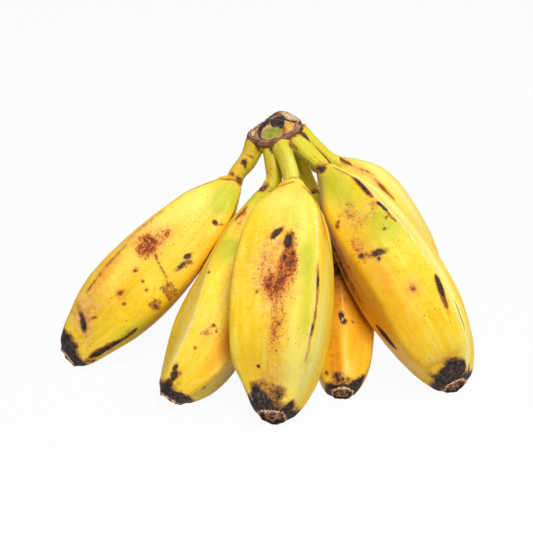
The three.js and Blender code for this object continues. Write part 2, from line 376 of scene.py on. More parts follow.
LOOKS["banana_left"] = {
    "facets": [(-57, 18.5), (32, 20.2), (-131, 17.2), (102, 17), (165, 17)],
    "bow": [
        (-1, -0.6, 0, -0.4), (-0.75, 0, 0, -0.4), (-0.45, -0.4, 0, 0.1), (-0.1, -1.4, 0, 0.7),
        (0.1, -0.3, 0, 0.2), (0.3, 0, 0, 0), (0.5, 0.4, 0, -0.4), (0.75, 0, 0, 0), (0.9, 0.1, 0, -0.2),
        (1, -0.5, 0, -0.4),
    ],
    "swell": [
        (-1, 0.3), (-0.75, 0.6), (-0.3, 0.3), (0, 1), (0.1, 1.9), (0.22, 0.8), (0.4, 1), (0.6, 2),
        (0.75, 1.4), (0.87, 0.1), (0.96, 0.6), (1, 0.4),
    ],
    "set_back": 2,
    "tints": {
        "green": [
            (0.08, -66, 20, 14, 1), (0.13, -64, 22, 14, 0.8), (0.45, -75, 60, 12, 0.3),
            (0.69, -92, 26, 5, 0.7), (0.76, -90, 16, 4, 0.7), (0.62, -98, 70, 8, 0.5),
        ],
        # pale: painted highlights on the upper side and on the stalk
        "pale": [
            (-0.6, -20, 26, 5, 0.6), (0.16, -36, 40, 14, 0.5), (0.32, -22, 60, 10, 0.35),
            (0.45, -58, 90, 5, 0.15), (0.62, -30, 40, 9, 0.2),
        ],
        "orange": [
            (0.66, -18, 24, 3.4, 0.6), (0.4, -4, 60, 4, 0.25), (0.45, -55, 90, 44, 0.12),
            (0.5, -104, 90, 12, 0.6), (0.66, -46, 7, 6, 0.8), (0.799, -41, 5, 2.2, 0.9, 30),
            (0, -60, 7, 16, 0.3), (-0.5, -30, 34, 8, 0.5),
        ],
        "halo": [
            (0.44, -30, 20, 16, 0.85), (0.37, -34, 16, 10, 0.5), (0.6, -15, 50, 6, 0.6),
            (0.79, -28, 30, 12, 0.75), (0.845, -34, 20, 11, 0.85, -49), (0.56, -39, 8, 5, 0.4),
        ],
        "bruise": [
            (0.58, -14, 40, 3, 0.3), (0.445, -31, 9, 7, 1.2), (0.425, -23, 7, 6, 0.85),
            (0.475, -28, 9, 8, 0.8), (0.37, -33, 14, 7, 0.5), (0.42, -30, 32, 22, 0.25),
            (0.659, -46, 5, 4, 0.8), (0.556, -39, 7, 4.4, 0.6), (0.26, -46, 34, 16, 0.2),
            (0.4, -82, 12, 4, 0.4), (0.88, -60, 14, 18, 0.3), (0.79, -34, 30, 24, 0.15),
            (0.825, -24, 10, 3.4, 0.7, -49),
        ],
        # the two long char patches at turns -108 and -117 are painted shade along the side that meets the
        # next finger
        "char": [
            (0.84, -30, 14, 3.4, 0.95, -49), (0.858, -37, 7, 3, 0.7, -49), (0.952, -19, 9, 9, 1.25),
            (0.972, -47, 7, 9, 1.15), (0.984, -78, 5, 9, 1.1), (0.95, -46, 9, 5, 0.5),
            (0.955, 20, 11, 16, 1.1), (0.975, 90, 9, 26, 1.1), (0.975, -150, 9, 30, 1.1),
            (0.935, -97, 6, 5, 0.45), (0.74, -92, 9, 3.4, 0.45), (-0.01, -88, 5, 5, 0.5),
            (-0.08, -72, 6, 5, 0.3), (-0.92, -90, 9, 4, 0.8), (0.2, -108, 46, 5, 0.42),
            (0.4, -117, 40, 5, 0.42), (0.02, -20, 4, 6, 0.3), (0, 110, 3, 20, 0.5),
        ],
    },
    "blots": {
        "ink": [
            (0.196, -78, 2.2, 2.2, 30), (0.4, 110, 6, 2.4, 20), (0.37, -78, 3.4, 1.8, 14),
            (0.408, -80, 5.4, 1.4, 8), (-0.42, -48, 2.8, 2.4, 25), (-0.4, -59, 3, 1.1, -50),
        ],
        "brown": [
            (0.62, 150, 5, 2.6), (0.184, -87, 2, 0.9, 40), (0.385, -84, 3, 1.6, 20),
            (0.563, -56, 1.6, 1.5), (0.577, -68, 1.5, 1.2), (0.659, -46, 3.6, 1.7, 10),
            (0.678, -60, 1.9, 1.5), (0.556, -39, 1.6, 1.3), (0.8, -41, 2.6, 1, 40),
            (0.505, -83, 2, 1.2, 20), (0.535, -89, 1.8, 1.2), (0.598, -88, 2.2, 2.4),
            (-0.01, -86, 2.4, 1.6), (-0.09, -29, 1.6, 2), (-0.62, -60, 0.8, 2.4),
        ],
        "net": [(0.5, 70, 8, 6), (0.517, -87, 7, 6), (0.595, -87, 4.6, 4.6)],
    },
    "cracks": {
        "ink": [
            (1.05, (0.82, -91.5), (0.867, -90.5), (0.9, -89.2), (0.93, -88)),
            (0.7, (0.785, -92.5), (0.82, -92), (0.85, -91)),
            (0.5, (0.71, -92.5), (0.74, -93), (0.77, -93), (0.8, -92)),
        ],
        "brown": [
            (1.25, (0.79, -91.5), (0.86, -90), (0.9, -88.6), (0.935, -87)),
            (0.2, (0.3, -11), (0.4, -11), (0.5, -12)), (0.3, (0.45, -12), (0.6, -14), (0.75, -16)),
            (0.3, (0.06, -3), (0.14, -5), (0.24, -6)),
            # a painted contact shadow along the seam where this finger meets the next, drawn as a brown line
            # on the ridge
            (
                0.6, (0.06, -100), (0.12, -99), (0.17, -97), (0.26, -98), (0.35, -102), (0.44, -113),
                (0.52, -118),
            ),
        ],
        "cream": [(0.3, (0.8, -95), (0.84, -96), (0.9, -95)), (0.2, (0.3, -11), (0.45, -12), (0.6, -12))],
    },
    "scratches": {
        "brown": [
            (0.35, (0.035, -12), (0.015, -30), (0.004, -50), (0.004, -75), (0, -95)),
            (0.5, (0.452, -44), (0.462, -50)),
            (0.28, (0.462, -50), (0.472, -60), (0.478, -67), (0.49, -76)),
        ],
    },
}
LOOKS["banana_front_right"] = {
    "facets": [(42, 16), (-22, 16), (-86, 14.6), (112, 16), (-172, 16)],
    "twist": [(0, -3), (1, -6)],
    "bow": [
        (-1, 0, 0, 0), (-0.5, -0.6, 0, 0), (-0.2, -2, 0, 0), (0.05, -1.5, 0, 0), (0.3, 0, 0, 0),
        (0.8, 0, 0, 0), (1, -2, 0, 0),
    ],
    "swell": [(-1, 0), (0.5, 0), (0.8, 0.2), (0.94, 1.5), (1, 0.5)],
    "stalk": 3.5,
    "tints": {
        "green": [(0.05, 0, 16, 26, 0.7), (0.5, 20, 50, 10, 0.3)],
        # pale: painted highlights along the ridge and near the tip
        "pale": [(0.84, 0, 30, 2, 0.35), (0.94, -4, 9, 7, 0.8)],
        # the broad patches at turn 0 and those at turns -30 and -40 are painted shade on the upper part and
        # the right side, which lie in the gaps under the neighbouring fingers
        "orange": [
            (0.5, 0, 110, 60, 0.5), (0.3, 0, 40, 60, 0.6), (0.86, 22, 24, 6, 1), (0.6, 8, 40, 16, 0.6),
            (0.93, 24, 14, 8, 0.8), (0.8, 34, 40, 8, 0.4), (0.7, -30, 70, 14, 0.35),
            (0.7, -40, 80, 16, 0.3),
        ],
        "halo": [(0.75, -78, 60, 9, 0.7), (0.72, 8, 10, 6, 0.7)],
        # the broad patch at s 0.35 is painted shade over the upper part
        "bruise": [(0.35, 0, 40, 60, 0.25), (0.72, 8, 12, 6, 0.4), (0.9, 20, 16, 24, 0.2)],
        # the two broad patches at s 0.2 and 0.46 are painted shade over the upper part, in the gap between
        # the neighbouring fingers
        "char": [
            (0.6, 8, 26, 20, 0.2), (0.93, 24, 12, 8, 0.15), (0.02, 14, 5, 12, 0.8), (0.2, 0, 30, 50, 0.5),
            (0.46, 10, 28, 50, 0.6), (0.965, 28, 5, 5, 0.5), (0.942, 53, 3, 3, 0.5), (0.98, -46, 5, 7, 1),
            (0.955, -56, 6, 4, 0.75), (0.996, 0, 1.8, 60, 0.9), (0.985, 62, 3, 4, 0.5),
            (0.965, 16, 6, 6, 0.4), (0.985, 105, 4, 12, 0.6), (0.985, -110, 6, 26, 1.1),
            (0.985, 170, 6, 24, 1.1),
        ],
    },
    "blots": {
        "ink": [
            (0.713, 8, 4.6, 2.3, -8), (0.738, 5, 3.6, 2.4), (0.978, 20, 0.9, 1.5), (0.976, 4, 0.8, 1.2),
            (0.972, -12, 1, 1.4),
        ],
        "brown": [(0.73, -11, 1.5, 1.4), (0.942, 53, 1.7, 1.4)],
        "cream": [(0.728, 7, 2.6, 0.7)],
    },
    "cracks": {
        # the thinner line is a painted highlight along the ridge
        "cream": [(0.3, (0.56, 5), (0.62, 5), (0.69, 5)), (0.12, (0.77, 4), (0.85, 2), (0.94, -2))],
    },
}
LOOKS["banana_right"] = {
    "facets": [(40, 21), (-30, 21), (-100, 18), (112, 19.5), (180, 17)],
    "twist": [(0, 4), (0.2, 9), (0.35, 5), (0.45, -1), (0.6, -1), (0.7, 6), (0.85, 4), (1, 0)],
    "bow": [
        (-1, -0.6, 0, -1.2), (-0.5, -0.4, 0, -1.6), (-0.2, -0.2, 0, -1.2), (0.05, -0.4, 0, -0.5),
        (0.35, 0.8, 0, 0.4), (0.75, 0.8, 0.7, 0.1), (0.87, 0.4, 1.2, -1), (1, -2.6, -3, 1.6),
    ],
    "swell": [(-1, 1.2), (-0.6, 0.6), (0, 0), (0.2, 0.4), (0.4, 1), (0.75, 1), (0.87, 0.5), (1, 0.2)],
    "stalk": 3.9,
    "set_back": 1,
    "tints": {
        "green": [
            (0.1, 60, 26, 20, 0.8), (0.21, 48, 18, 12, 0.6), (0.395, 16, 20, 11, 1),
            (0.37, 26, 14, 9, 0.4), (0.43, 45, 26, 16, 0.5), (0.51, 58, 24, 10, 0.4),
            (0.46, -12, 40, 7, 0.4), (0.3, 85, 50, 10, 0.3), (0.3, 46, 60, 34, 0.5),
        ],
        # pale: painted highlights on the right side and along the upper ridge
        "pale": [
            (0.18, -8, 50, 8, 0.9), (0.35, -14, 60, 9, 1), (0.55, -16, 60, 10, 1),
            (0.75, -10, 50, 10, 0.9), (0.92, -4, 24, 10, 0.9), (0.17, 72, 40, 3, 0.4),
        ],
        # the broad patch at turn 110 is painted shade on the left side
        "orange": [
            (0.5, 58, 40, 12, 0.4), (0.6, 60, 70, 24, 0.3), (0.5, 110, 110, 34, 0.7),
            (0.3, 100, 40, 10, 0.35), (0.596, 34, 6, 6, 0.8), (0.71, 12, 4, 2, 0.9),
        ],
        "halo": [
            (0.3, 50, 24, 15, 0.5), (0.3, 20, 9, 7, 0.9), (0.594, 34, 8.5, 8.5, 1),
            (0.86, 46, 12, 20, 0.4),
        ],
        # the faint long patch at turn 96 is painted shade on the left side
        "bruise": [
            (0.5, 96, 80, 16, 0.16), (0.28, 54, 18, 13, 0.3), (0.34, 44, 10, 8, 0.45),
            (0.3, 19, 8, 4.6, 0.75), (0.44, 62, 12, 6, 0.5), (0.4, 66, 10, 4, 0.6),
            (0.597, 33, 4.4, 4, 1), (0.45, 35, 54, 36, 0.16), (0.42, 96, 16, 3, 0.6),
            (0.3, 74, 6, 4, 0.5), (0.875, 42, 6, 14, 0.6), (0.93, 85, 12, 8, 0.6),
            (-0.02, 40, 7, 10, 0.25),
        ],
        # the long patches at turns 98 and 120 are painted shade in the gap next to the front finger
        "char": [
            (0.39, 21, 13, 7, 0.2), (0.42, 98, 60, 6, 0.25), (0.44, 120, 44, 8, 0.45),
            (0.28, 54, 18, 13, 0.4), (0.4, 60, 14, 7, 0.3), (0.33, 30, 12, 8, 0.25),
            (0.38, 92, 5, 2.4, 0.4), (0.33, 84, 3, 2, 0.4), (0.3, 120, 60, 8, 0.5),
            (0.94, 32, 11, 9, 1.3), (0.96, 42, 8, 12, 0.8), (0.962, 55, 8, 8, 1.15),
            (0.958, 12, 9, 5, 1.1), (0.9, 36, 7, 11, 0.45), (0.978, 84, 4, 8, 0.9),
            (0.94, 80, 9, 4, 0.55), (0.966, -20, 7, 2.4, 1), (0.996, 0, 2, 24, 0.8),
            (0.98, -60, 6, 18, 1), (0.97, 150, 8, 28, 1.1), (0.98, -130, 8, 30, 1.1),
            (0.02, 54, 6, 5, 0.8), (-0.01, 50, 9, 8, 0.4), (-0.05, 100, 7, 6, 0.4),
            (-0.8, 76, 8, 2, 0.35), (0, 180, 3, 20, 0.6),
        ],
    },
    "blots": {
        "ink": [
            (0.457, 47, 2.4, 7, 12), (0.476, 49, 1, 1.2), (0.44, 65, 1.6, 1.8), (0.442, 60, 0.9, 0.9),
            (0.5, -110, 6, 2.2, 15), (0.4, 24, 0.8, 0.8),
        ],
        "brown": [
            (0.299, 75, 2, 1.8), (0.68, -150, 5, 2.6), (0.285, 71, 1.3, 1.3), (0.6, 33, 1.4, 1.8),
            (0.37, 16, 1.4, 1.2),
        ],
    },
    "cracks": {
        "ink": [
            (1.2, (-1.05, 0), (-0.93, -16), (-0.82, -26), (-0.7, -36)),
            (0.75, (0.145, 11), (0.18, 13), (0.215, 14.5), (0.24, 15), (0.27, 15.5)),
            (0.8, (0.3, 13), (0.322, 11.5), (0.35, 10)), (1.3, (0.595, 3), (0.63, 5), (0.665, 8.6)),
            (2.8, (0.655, 115), (0.7, 111), (0.735, 107)),
        ],
        "brown": [
            (0.25, (0.04, 10), (0.09, 10), (0.15, 11)), (0.95, (0.14, 11), (0.2, 13.5), (0.28, 15.5)),
            (0.7, (0.13, 11), (0.2, 13), (0.28, 14)), (0.5, (0.34, 10.5), (0.37, 11), (0.4, 8)),
            (1.4, (0.595, 3.2), (0.63, 5), (0.665, 9), (0.7, 11.5)),
            (3, (0.64, 116), (0.7, 111), (0.745, 106)), (0.5, (0.7, -14), (0.75, -10), (0.8, -8)),
        ],
        "cream": [
            (0.4, (0.38, 8), (0.444, 4), (0.5, 2.5), (0.62, 1)),
            (0.55, (0.14, 6), (0.2, 8.5), (0.27, 10), (0.33, 7), (0.4, 4), (0.46, 1)),
            (0.35, (0.44, 1), (0.523, 0), (0.6, 0.5)), (0.45, (0.76, 106), (0.8, 102), (0.86, 96)),
            (0.45, (0.935, 3), (0.962, -5), (0.99, -26)), (0.3, (0.8, 10), (0.87, 7), (0.93, 4)),
        ],
    },
}
LOOKS["banana_back_right"] = {
    "facets": [(0, 19.5), (72, 18), (-72, 18), (145, 15), (-145, 16)],
    "bow": [
        (-1, -1, 0, -1.8), (-0.5, -0.6, 0, -2.4), (-0.1, -0.3, 0, -0.2), (0.1, 0.5, 0, 1.8),
        (0.3, 0.6, 0, 0.6), (0.7, 0.7, 0, 0.4), (1, 0, 0, 0),
    ],
    "swell": [(-1, 0.6), (-0.5, 0.3), (-0.1, 0.3), (0.1, 1.5), (0.25, 0.6), (0.7, 0.7), (1, 0)],
    "tints": {
        "green": [(0.5, 50, 40, 10, 0.5), (0.08, -60, 20, 20, 0.5)],
        "pale": [(0.3, 5, 60, 20, 0.9), (0.12, 12, 24, 16, 0.6)],
        "orange": [(0.08, 34, 14, 6, 0.5), (0.19, 39, 18, 3, 0.9), (0.5, -60, 60, 10, 0.5)],
        "halo": [(0.07, 32, 12, 7, 0.5), (0.62, -50, 34, 18, 0.5)],
        "bruise": [
            (0.06, 38, 10, 6, 0.6), (0.11, 34, 8, 3, 0.55), (0.6, -50, 30, 16, 0.5),
            (0.5, 0, 60, 60, 0.1),
        ],
        "char": [
            (0, 90, 3, 14, 0.4), (0.965, 0, 10, 22, 1.1), (0.97, 100, 9, 30, 1.1),
            (0.97, -110, 9, 34, 1.1),
        ],
    },
    "blots": {
        "ink": [(0.45, -40, 5, 2), (0.78, 60, 7, 2.4, 20), (0.35, -90, 4, 2.4)],
    },
    "cracks": {
        "brown": [
            (0.5, (0.13, 37), (0.16, 39), (0.2, 40), (0.26, 37)),
            (1, (-0.08, 16), (-0.05, 23), (0.004, 34), (0.035, 42)),
            (0.7, (-0.72, 74), (-0.47, 74), (-0.19, 86)), (0.5, (0.4, -35), (0.55, -36), (0.7, -36)),
        ],
        "cream": [(0.4, (0.25, 36), (0.4, 36), (0.6, 36))],
    },
}
LOOKS["banana_back"] = {
    "facets": [(0, 18.6), (72, 18.2), (-72, 18.2), (145, 18), (-145, 18)],
    "bow": [(-1, 0, 0, -1), (-0.5, 0, 0, -1), (0, 0, 0, 0), (0.5, 1.5, 0, 0), (1, 0, 0, 0)],
    "swell": [(-1, 0), (0.3, -0.4), (0.6, -0.4), (1, 0)],
    "tints": {
        "green": [(0.08, 0, 18, 30, 0.8), (0.4, -40, 40, 12, 0.6)],
        "pale": [(0.5, 10, 60, 12, 0.5)],
        "orange": [(0.5, 60, 70, 16, 0.5), (0.6, -120, 50, 16, 0.4)],
        "halo": [(0.4, -5, 26, 18, 0.7), (0.62, 20, 24, 14, 0.5)],
        "bruise": [(0.4, -5, 20, 12, 0.95), (0.62, 20, 24, 12, 0.5), (0.5, 0, 60, 60, 0.1)],
        "char": [
            (0.96, 10, 11, 18, 1.1), (0.97, 100, 9, 32, 1.1), (0.97, -110, 9, 34, 1.1),
            (0.005, 0, 3, 12, 0.6), (0.005, 180, 3, 14, 0.6),
        ],
    },
    "blots": {
        "ink": [(0.3, 20, 5, 2.4, 15), (0.55, -35, 5, 2)],
        "net": [(0.7, -20, 7, 5)],
    },
    "cracks": {
        "ink": [(1.1, (0.5, 34), (0.58, 35), (0.66, 35))],
        "brown": [(0.4, (0.2, -36), (0.4, -36), (0.55, -36))],
        "cream": [(0.45, (0.3, 34), (0.45, 34), (0.6, 35), (0.8, 35))],
    },
}

# Every stalk is greenish, and browns where it meets the crown and a little at its neck. The brown and black
# where it meets the crown are partly the stalk's own colour and partly painted shade under the crown.
STALK_TINTS = {
    "green": [(-0.5, 0, 60, 70, 0.4)],
    "orange": [(-1.02, 0, 6, 70, 0.35)],
    "bruise": [(0, 0, 5, 70, 0.2), (-0.5, 0, 30, 70, 0.08)],
    "char": [(-1.04, 0, 5, 70, 0.6)],
}


# ---------------------------------------------------------------- fingers

COLUMNS = 208
STALK_ROWS = 50
BODY_ROWS = 210
CAP_ROWS = 16
CROWDING = 0.4                   # how much closer the rows stand near the neck and the tip
CAD_STALK_RINGS = 6
CAD_ROUNDING = 5                 # how the CAD's facets are blended
ROUNDING = 13                    # the same with the crisper ridges of the real skin
STALK_RADIUS = 4.1
LEAST_RADIUS = 3.5               # what a degree round the skin is measured on, at least
ROOT_FLARE = 0.9                 # how much wider the stalk grows into the crown
CAP_LENGTH = 5.0                 # how far the skin's own coordinates run on over the cap
CAP_HOLE = 0.6                   # the last step to the cap's middle, as a share of a row
SET_BACK_RUN = 16.0              # how far before the tip a side starts to end sooner
CAP_PROFILE = [(0.0, 0.3), (0.25, 0.3), (0.42, -0.2), (0.58, -0.6), (0.76, -0.2), (0.88, 0.5),
               (0.95, 0.45), (1.0, 0.0)]
SHOULDER = [(-0.1, 1.0), (0.0, 1.0), (0.025, 0.86), (0.05, 0.8), (0.08, 0.82), (0.12, 0.88),
            (0.18, 0.96), (0.25, 1.0)]
NO_TWIST = [(0, 0)]
FIELDS = {"ink": ("spot", 0), "cream": ("spot", 1), "brown": ("spot", 2),
          "green": ("tint", 0), "pale": ("tint", 1), "orange": ("tint", 2),
          "bruise": ("stain_and_shade", 0), "halo": ("stain_and_shade", 1), "char": ("stain_and_shade", 2),
          "net": ("wear", 0), "cap": ("wear", 1), "rho": ("wear", 2)}
FAR = -6.0                       # the field of a sharp-edged mark well outside it
DEEP = 6.0                       # and the most it reaches inside
FALL_OFF = 1.6                   # how fast a soft patch fades
DARKEST = 1.25                   # the most that stains and painted shade add up to

# Relief of the peel, in millimetres.
LUMP_HEIGHT = 0.32
SMALL_LUMP_HEIGHT = 0.1
EDGE_HEIGHT = 0.14               # the stalk's three soft edges
STREAK_HEIGHT = 0.1
FIBRE_HEIGHT = 0.04
CREASE_DEPTH = 0.5               # at the neck
CREASE_WIDTH = 1.5
GROOVE_DEPTH = 0.35              # before the lip of the flower scar
GROOVE_WIDTH = 0.8
GROOVE_PLACE = 1.7
GROOVE_WANDER = 0.5
LIP_HEIGHT = 0.4
LIP_WIDTH = 0.5
LIP_PLACE = 0.1
CRUMPLE_HEIGHT = 0.85
BRUISE_DEPTH = 0.1
BRUISE_ROUGHNESS = 0.12
# Each sharp mark: where its field starts and where it is full, its height, and its roughness.
MARK_RELIEF = (("ink", -0.4, 0.8, -0.22, 0.16), ("cream", -0.5, 0.5, 0.1, 0.0),
               ("brown", -0.4, 0.5, 0.05, 0.1), ("char", 0.4, 0.9, -0.15, 0.12))

# The stalk's green, and the thin brown ring at the neck, in millimetres.
STALK_GREEN = 0.7
STREAK_GREEN = 0.18
CROWN_GREEN = 0.15               # added towards the crown
RING_HALF_WIDTH = 0.4
RING_PLACE = 0.3
RING_WANDER = 0.8
RING_RAGGED = 0.5
RING_THINNED = 0.35              # taken off all round, so that it breaks up

# What is added to a finger's seed for each of its noises.
(LUMPS, SMALL_LUMPS, FIBRES, STREAKS, NECK, NECK_EDGE, ROUGH, LIP, CRUMPLE,
 SMALL_CRUMPLE) = range(10)


def facet_radius(facets, turn, rounding):
    """The distance to flat sides with rounded ridges between them."""
    total = 0.0
    for facing, distance in facets:
        toward = np.maximum(np.cos(np.radians(turn - facing)), 0.0)
        total = total + (toward / distance) ** rounding
    return total ** (-1.0 / rounding)


def along_row(places, s):
    """Straight steps between (s, value) places, as a column of values."""
    return np.interp(s, *np.array(places, float).T)[:, None]


def wrapped(degrees):
    """The same turn, counted from -180 to 180 degrees."""
    return (degrees + 180.0) % 360.0 - 180.0


class Finger:
    """The fine skin of one finger: places, directions, and where each point lies on it."""

    def __init__(self, node):
        rings = rings_of(node)
        centres = middles(rings)
        sides = rings.shape[1]
        steps = np.linalg.norm(np.diff(centres, axis=0), axis=1)
        travelled = np.concatenate([[0], np.cumsum(steps)])
        self.stalk_length = travelled[CAD_STALK_RINGS]
        self.length = travelled[-1] - self.stalk_length
        even = np.arange(BODY_ROWS + 1) / BODY_ROWS
        share = even - CROWDING * np.sin(2.0 * np.pi * even) / (2.0 * np.pi)
        at = np.concatenate([self.stalk_length * np.arange(STALK_ROWS) / STALK_ROWS,
                             self.stalk_length + self.length * share])
        self.mm = at - self.stalk_length
        self.s = self.mm / np.where(self.mm < 0.0, self.stalk_length, self.length)
        # Round each ring, the spline runs a few sides past its ends.
        turns = np.arange(COLUMNS) / COLUMNS
        self.turn = turns * 360.0
        reach = np.linalg.norm(rings - centres[:, None], axis=2)
        round_reach = np.concatenate([reach[:, -4:], reach, reach[:, :5]], axis=1)
        round_knots = np.arange(-4, sides + 5) / sides
        rows = spline_weights(travelled, at)
        self.radius = rows @ round_reach @ spline_weights(round_knots, turns).T
        self.mean = self.radius.mean(axis=1)
        self.centre = rows @ centres
        self.up = unit(rows @ unit(rings[:, 0] - centres))
        side = rows @ unit(rings[:, sides // 4] - centres)
        self.side = unit(side - self.up * (side * self.up).sum(1, keepdims=True))
        self.along = unit(np.gradient(self.centre, axis=0))

    def sharpen(self, look):
        """Flatter facets and crisper ridges, which wander a little along the body."""
        twist = along_row(look.get("twist", NO_TWIST), self.s)
        crisp = facet_radius(look["facets"], self.turn[None] - twist, ROUNDING)
        soft = facet_radius(look["facets"], self.turn[None], CAD_ROUNDING)
        share = (smooth(self.s, 0.02, 0.2) * (1.0 - 0.5 * smooth(self.s, 0.86, 1.0)))[:, None]
        self.radius = self.radius * (1.0 + share * (crisp / soft - 1.0))

    def bend(self, look):
        """A round, bent stalk that widens into the crown and flows into the body's shoulder."""
        near_crown = 1.0 - smooth(self.s, -1.0, -0.62)
        plain_stalk = look.get("stalk", STALK_RADIUS) + ROOT_FLARE * near_crown
        on_stalk = 1.0 - smooth(self.s, -0.12, 0.0)
        self.radius += on_stalk[:, None] * (plain_stalk[:, None] - self.radius)
        self.radius *= along_row(SHOULDER, self.s)
        knots, sizes = np.array(look["swell"], float).T
        self.radius += (spline_weights(knots, np.clip(self.s, knots[0], knots[-1])) @ sizes)[:, None]
        bow = np.array(look["bow"], float)
        before = self.along
        self.centre = self.centre + spline_weights(bow[:, 0], self.s) @ bow[:, 1:]
        self.along = unit(np.gradient(self.centre, axis=0))
        # The rings turn with the line.
        axis = np.cross(before, self.along)
        cosine = (before * self.along).sum(1, keepdims=True)

        def carried(v):
            return v * cosine + np.cross(axis, v) + axis * (axis * v).sum(1, keepdims=True) / (1.0 + cosine)

        self.up, self.side = carried(self.up), carried(self.side)

    def directions(self):
        turn = np.radians(self.turn)[:, None]
        return self.up[:, None] * np.cos(turn) + self.side[:, None] * np.sin(turn)

    def offsets(self, s, turn):
        """Millimetres along and round the skin from a place on it, at every point."""
        here = s * (self.length if s >= 0 else self.stalk_length)
        along = np.broadcast_to((self.mm - here)[:, None], self.radius.shape)
        size = np.maximum(self.mean, LEAST_RADIUS)[:, None]
        return along, np.radians(wrapped(self.turn[None] - turn)) * size


def from_middle(along, across, length, width, tilt=0):
    """Distance from the middle of an oval, 1 at its edge."""
    lean = math.radians(tilt)
    a = along * math.cos(lean) + across * math.sin(lean)
    b = across * math.cos(lean) - along * math.sin(lean)
    return np.hypot(a / (length / 2.0), b / (width / 2.0))


def inside_oval(along, across, length, width, tilt=0):
    """Millimetres inside an oval's edge, by its smaller half size."""
    return (1.0 - from_middle(along, across, length, width, tilt)) * min(length, width) / 2.0


def from_line(along, across, end):
    """Distance from the straight line between the origin and its end."""
    t = np.clip((along * end[0] + across * end[1]) / end.dot(end), 0.0, 1.0)
    return np.hypot(along - t * end[0], across - t * end[1])


def deepen(field, *values):
    """Raises a field, in place, to the highest of the values."""
    for value in values:
        np.maximum(field, value, out=field)


def all_marks(*tables):
    """Every mark in tables of marks by kind, each after its kind."""
    return [(kind, *mark) for table in tables for kind, marks in table.items() for mark in marks]


def finger_fields(finger, look):
    """The finger's marks as fields over its points, and a way to reach one kind's field."""
    fields = {group: np.zeros(finger.radius.shape + (3,)) for group in ("spot", "tint", "stain_and_shade", "wear")}
    fields["spot"][:] = FAR
    fields["wear"][..., 0] = FAR

    def field_of(kind):
        group, channel = FIELDS[kind]
        return fields[group][..., channel]

    for kind, s, turn, length, width, strength, *tilt in all_marks(look["tints"], STALK_TINTS):
        away = from_middle(*finger.offsets(s, turn), length, width, *tilt)
        field_of(kind)[:] += strength * np.exp(-FALL_OFF * away ** 2)
    for kind, s, turn, *size in all_marks(look["blots"]):
        deepen(field_of(kind), inside_oval(*finger.offsets(s, turn), *size))
    for kind, half, *places in all_marks(look["cracks"]):
        start, end = places[0][0], places[-1][0]
        share = ((finger.s - start) / (end - start))[:, None]
        width = half * np.sqrt(np.maximum(4.0 * share * (1.0 - share), 0.0))
        beyond = np.maximum(np.maximum(-share, share - 1.0), 0.0) * (end - start) * finger.length
        aside = np.radians(wrapped(finger.turn[None] - along_row(places, finger.s)))
        deepen(field_of(kind), width - np.hypot(aside * finger.mean[:, None], beyond))
    for kind, half, *places in all_marks(look.get("scratches", {})):
        for (s0, turn0), (s1, turn1) in zip(places[:-1], places[1:]):
            size = finger.mean[np.argmin(np.abs(finger.s - s0))]
            end = np.array([(s1 - s0) * finger.length, math.radians(turn1 - turn0) * size])
            deepen(field_of(kind), half - from_line(*finger.offsets(s0, turn0), end))
    for group, low, high in (("tint", 0.0, 1.0), ("stain_and_shade", 0.0, DARKEST), ("spot", FAR, DEEP)):
        np.clip(fields[group], low, high, out=fields[group])
    return fields, field_of


def finger_relief(finger, field_of, skin, streak, stalk, seed):
    """How far each point stands out from the plain skin."""
    s = finger.s[:, None]
    mm = finger.mm[:, None]
    to_end = finger.length - mm
    turn = np.radians(finger.turn)[None]
    rough = noise(skin, 1.1, seed + ROUGH)
    # Soft lumps, a few soft edges along the stalk, a crease at the neck, and fine fibres.
    lumps = LUMP_HEIGHT * noise(skin * [1, 1, 0.5], 13.0, seed + LUMPS)
    lumps = lumps + SMALL_LUMP_HEIGHT * noise(skin, 5.0, seed + SMALL_LUMPS)
    relief = smooth(s, 0.0, 0.08) * lumps
    relief = relief + stalk * (EDGE_HEIGHT * np.cos(3 * turn + 0.8 * seed) + STREAK_HEIGHT * streak)
    relief = relief - CREASE_DEPTH * np.exp(-(mm / CREASE_WIDTH) ** 2)
    relief = relief + FIBRE_HEIGHT * noise(skin * [1, 1, 0.07], 1.6, seed + FIBRES)
    # A dent or a scab for each mark.
    for kind, low, high, height, roughness in MARK_RELIEF:
        relief = relief + smooth(field_of(kind), low, high) * (height + roughness * rough)
    relief = relief - field_of("bruise") * (BRUISE_DEPTH - BRUISE_ROUGHNESS * rough)
    # The end: a shallow groove before the lip of the flower scar.
    wavy = GROOVE_WANDER * noise(skin, 3.4, seed + LIP)
    relief = relief - GROOVE_DEPTH * np.exp(-((to_end - GROOVE_PLACE + wavy) / GROOVE_WIDTH) ** 2)
    return relief + LIP_HEIGHT * np.exp(-((to_end + LIP_PLACE) / LIP_WIDTH) ** 2) * (1.0 + 0.9 * rough)


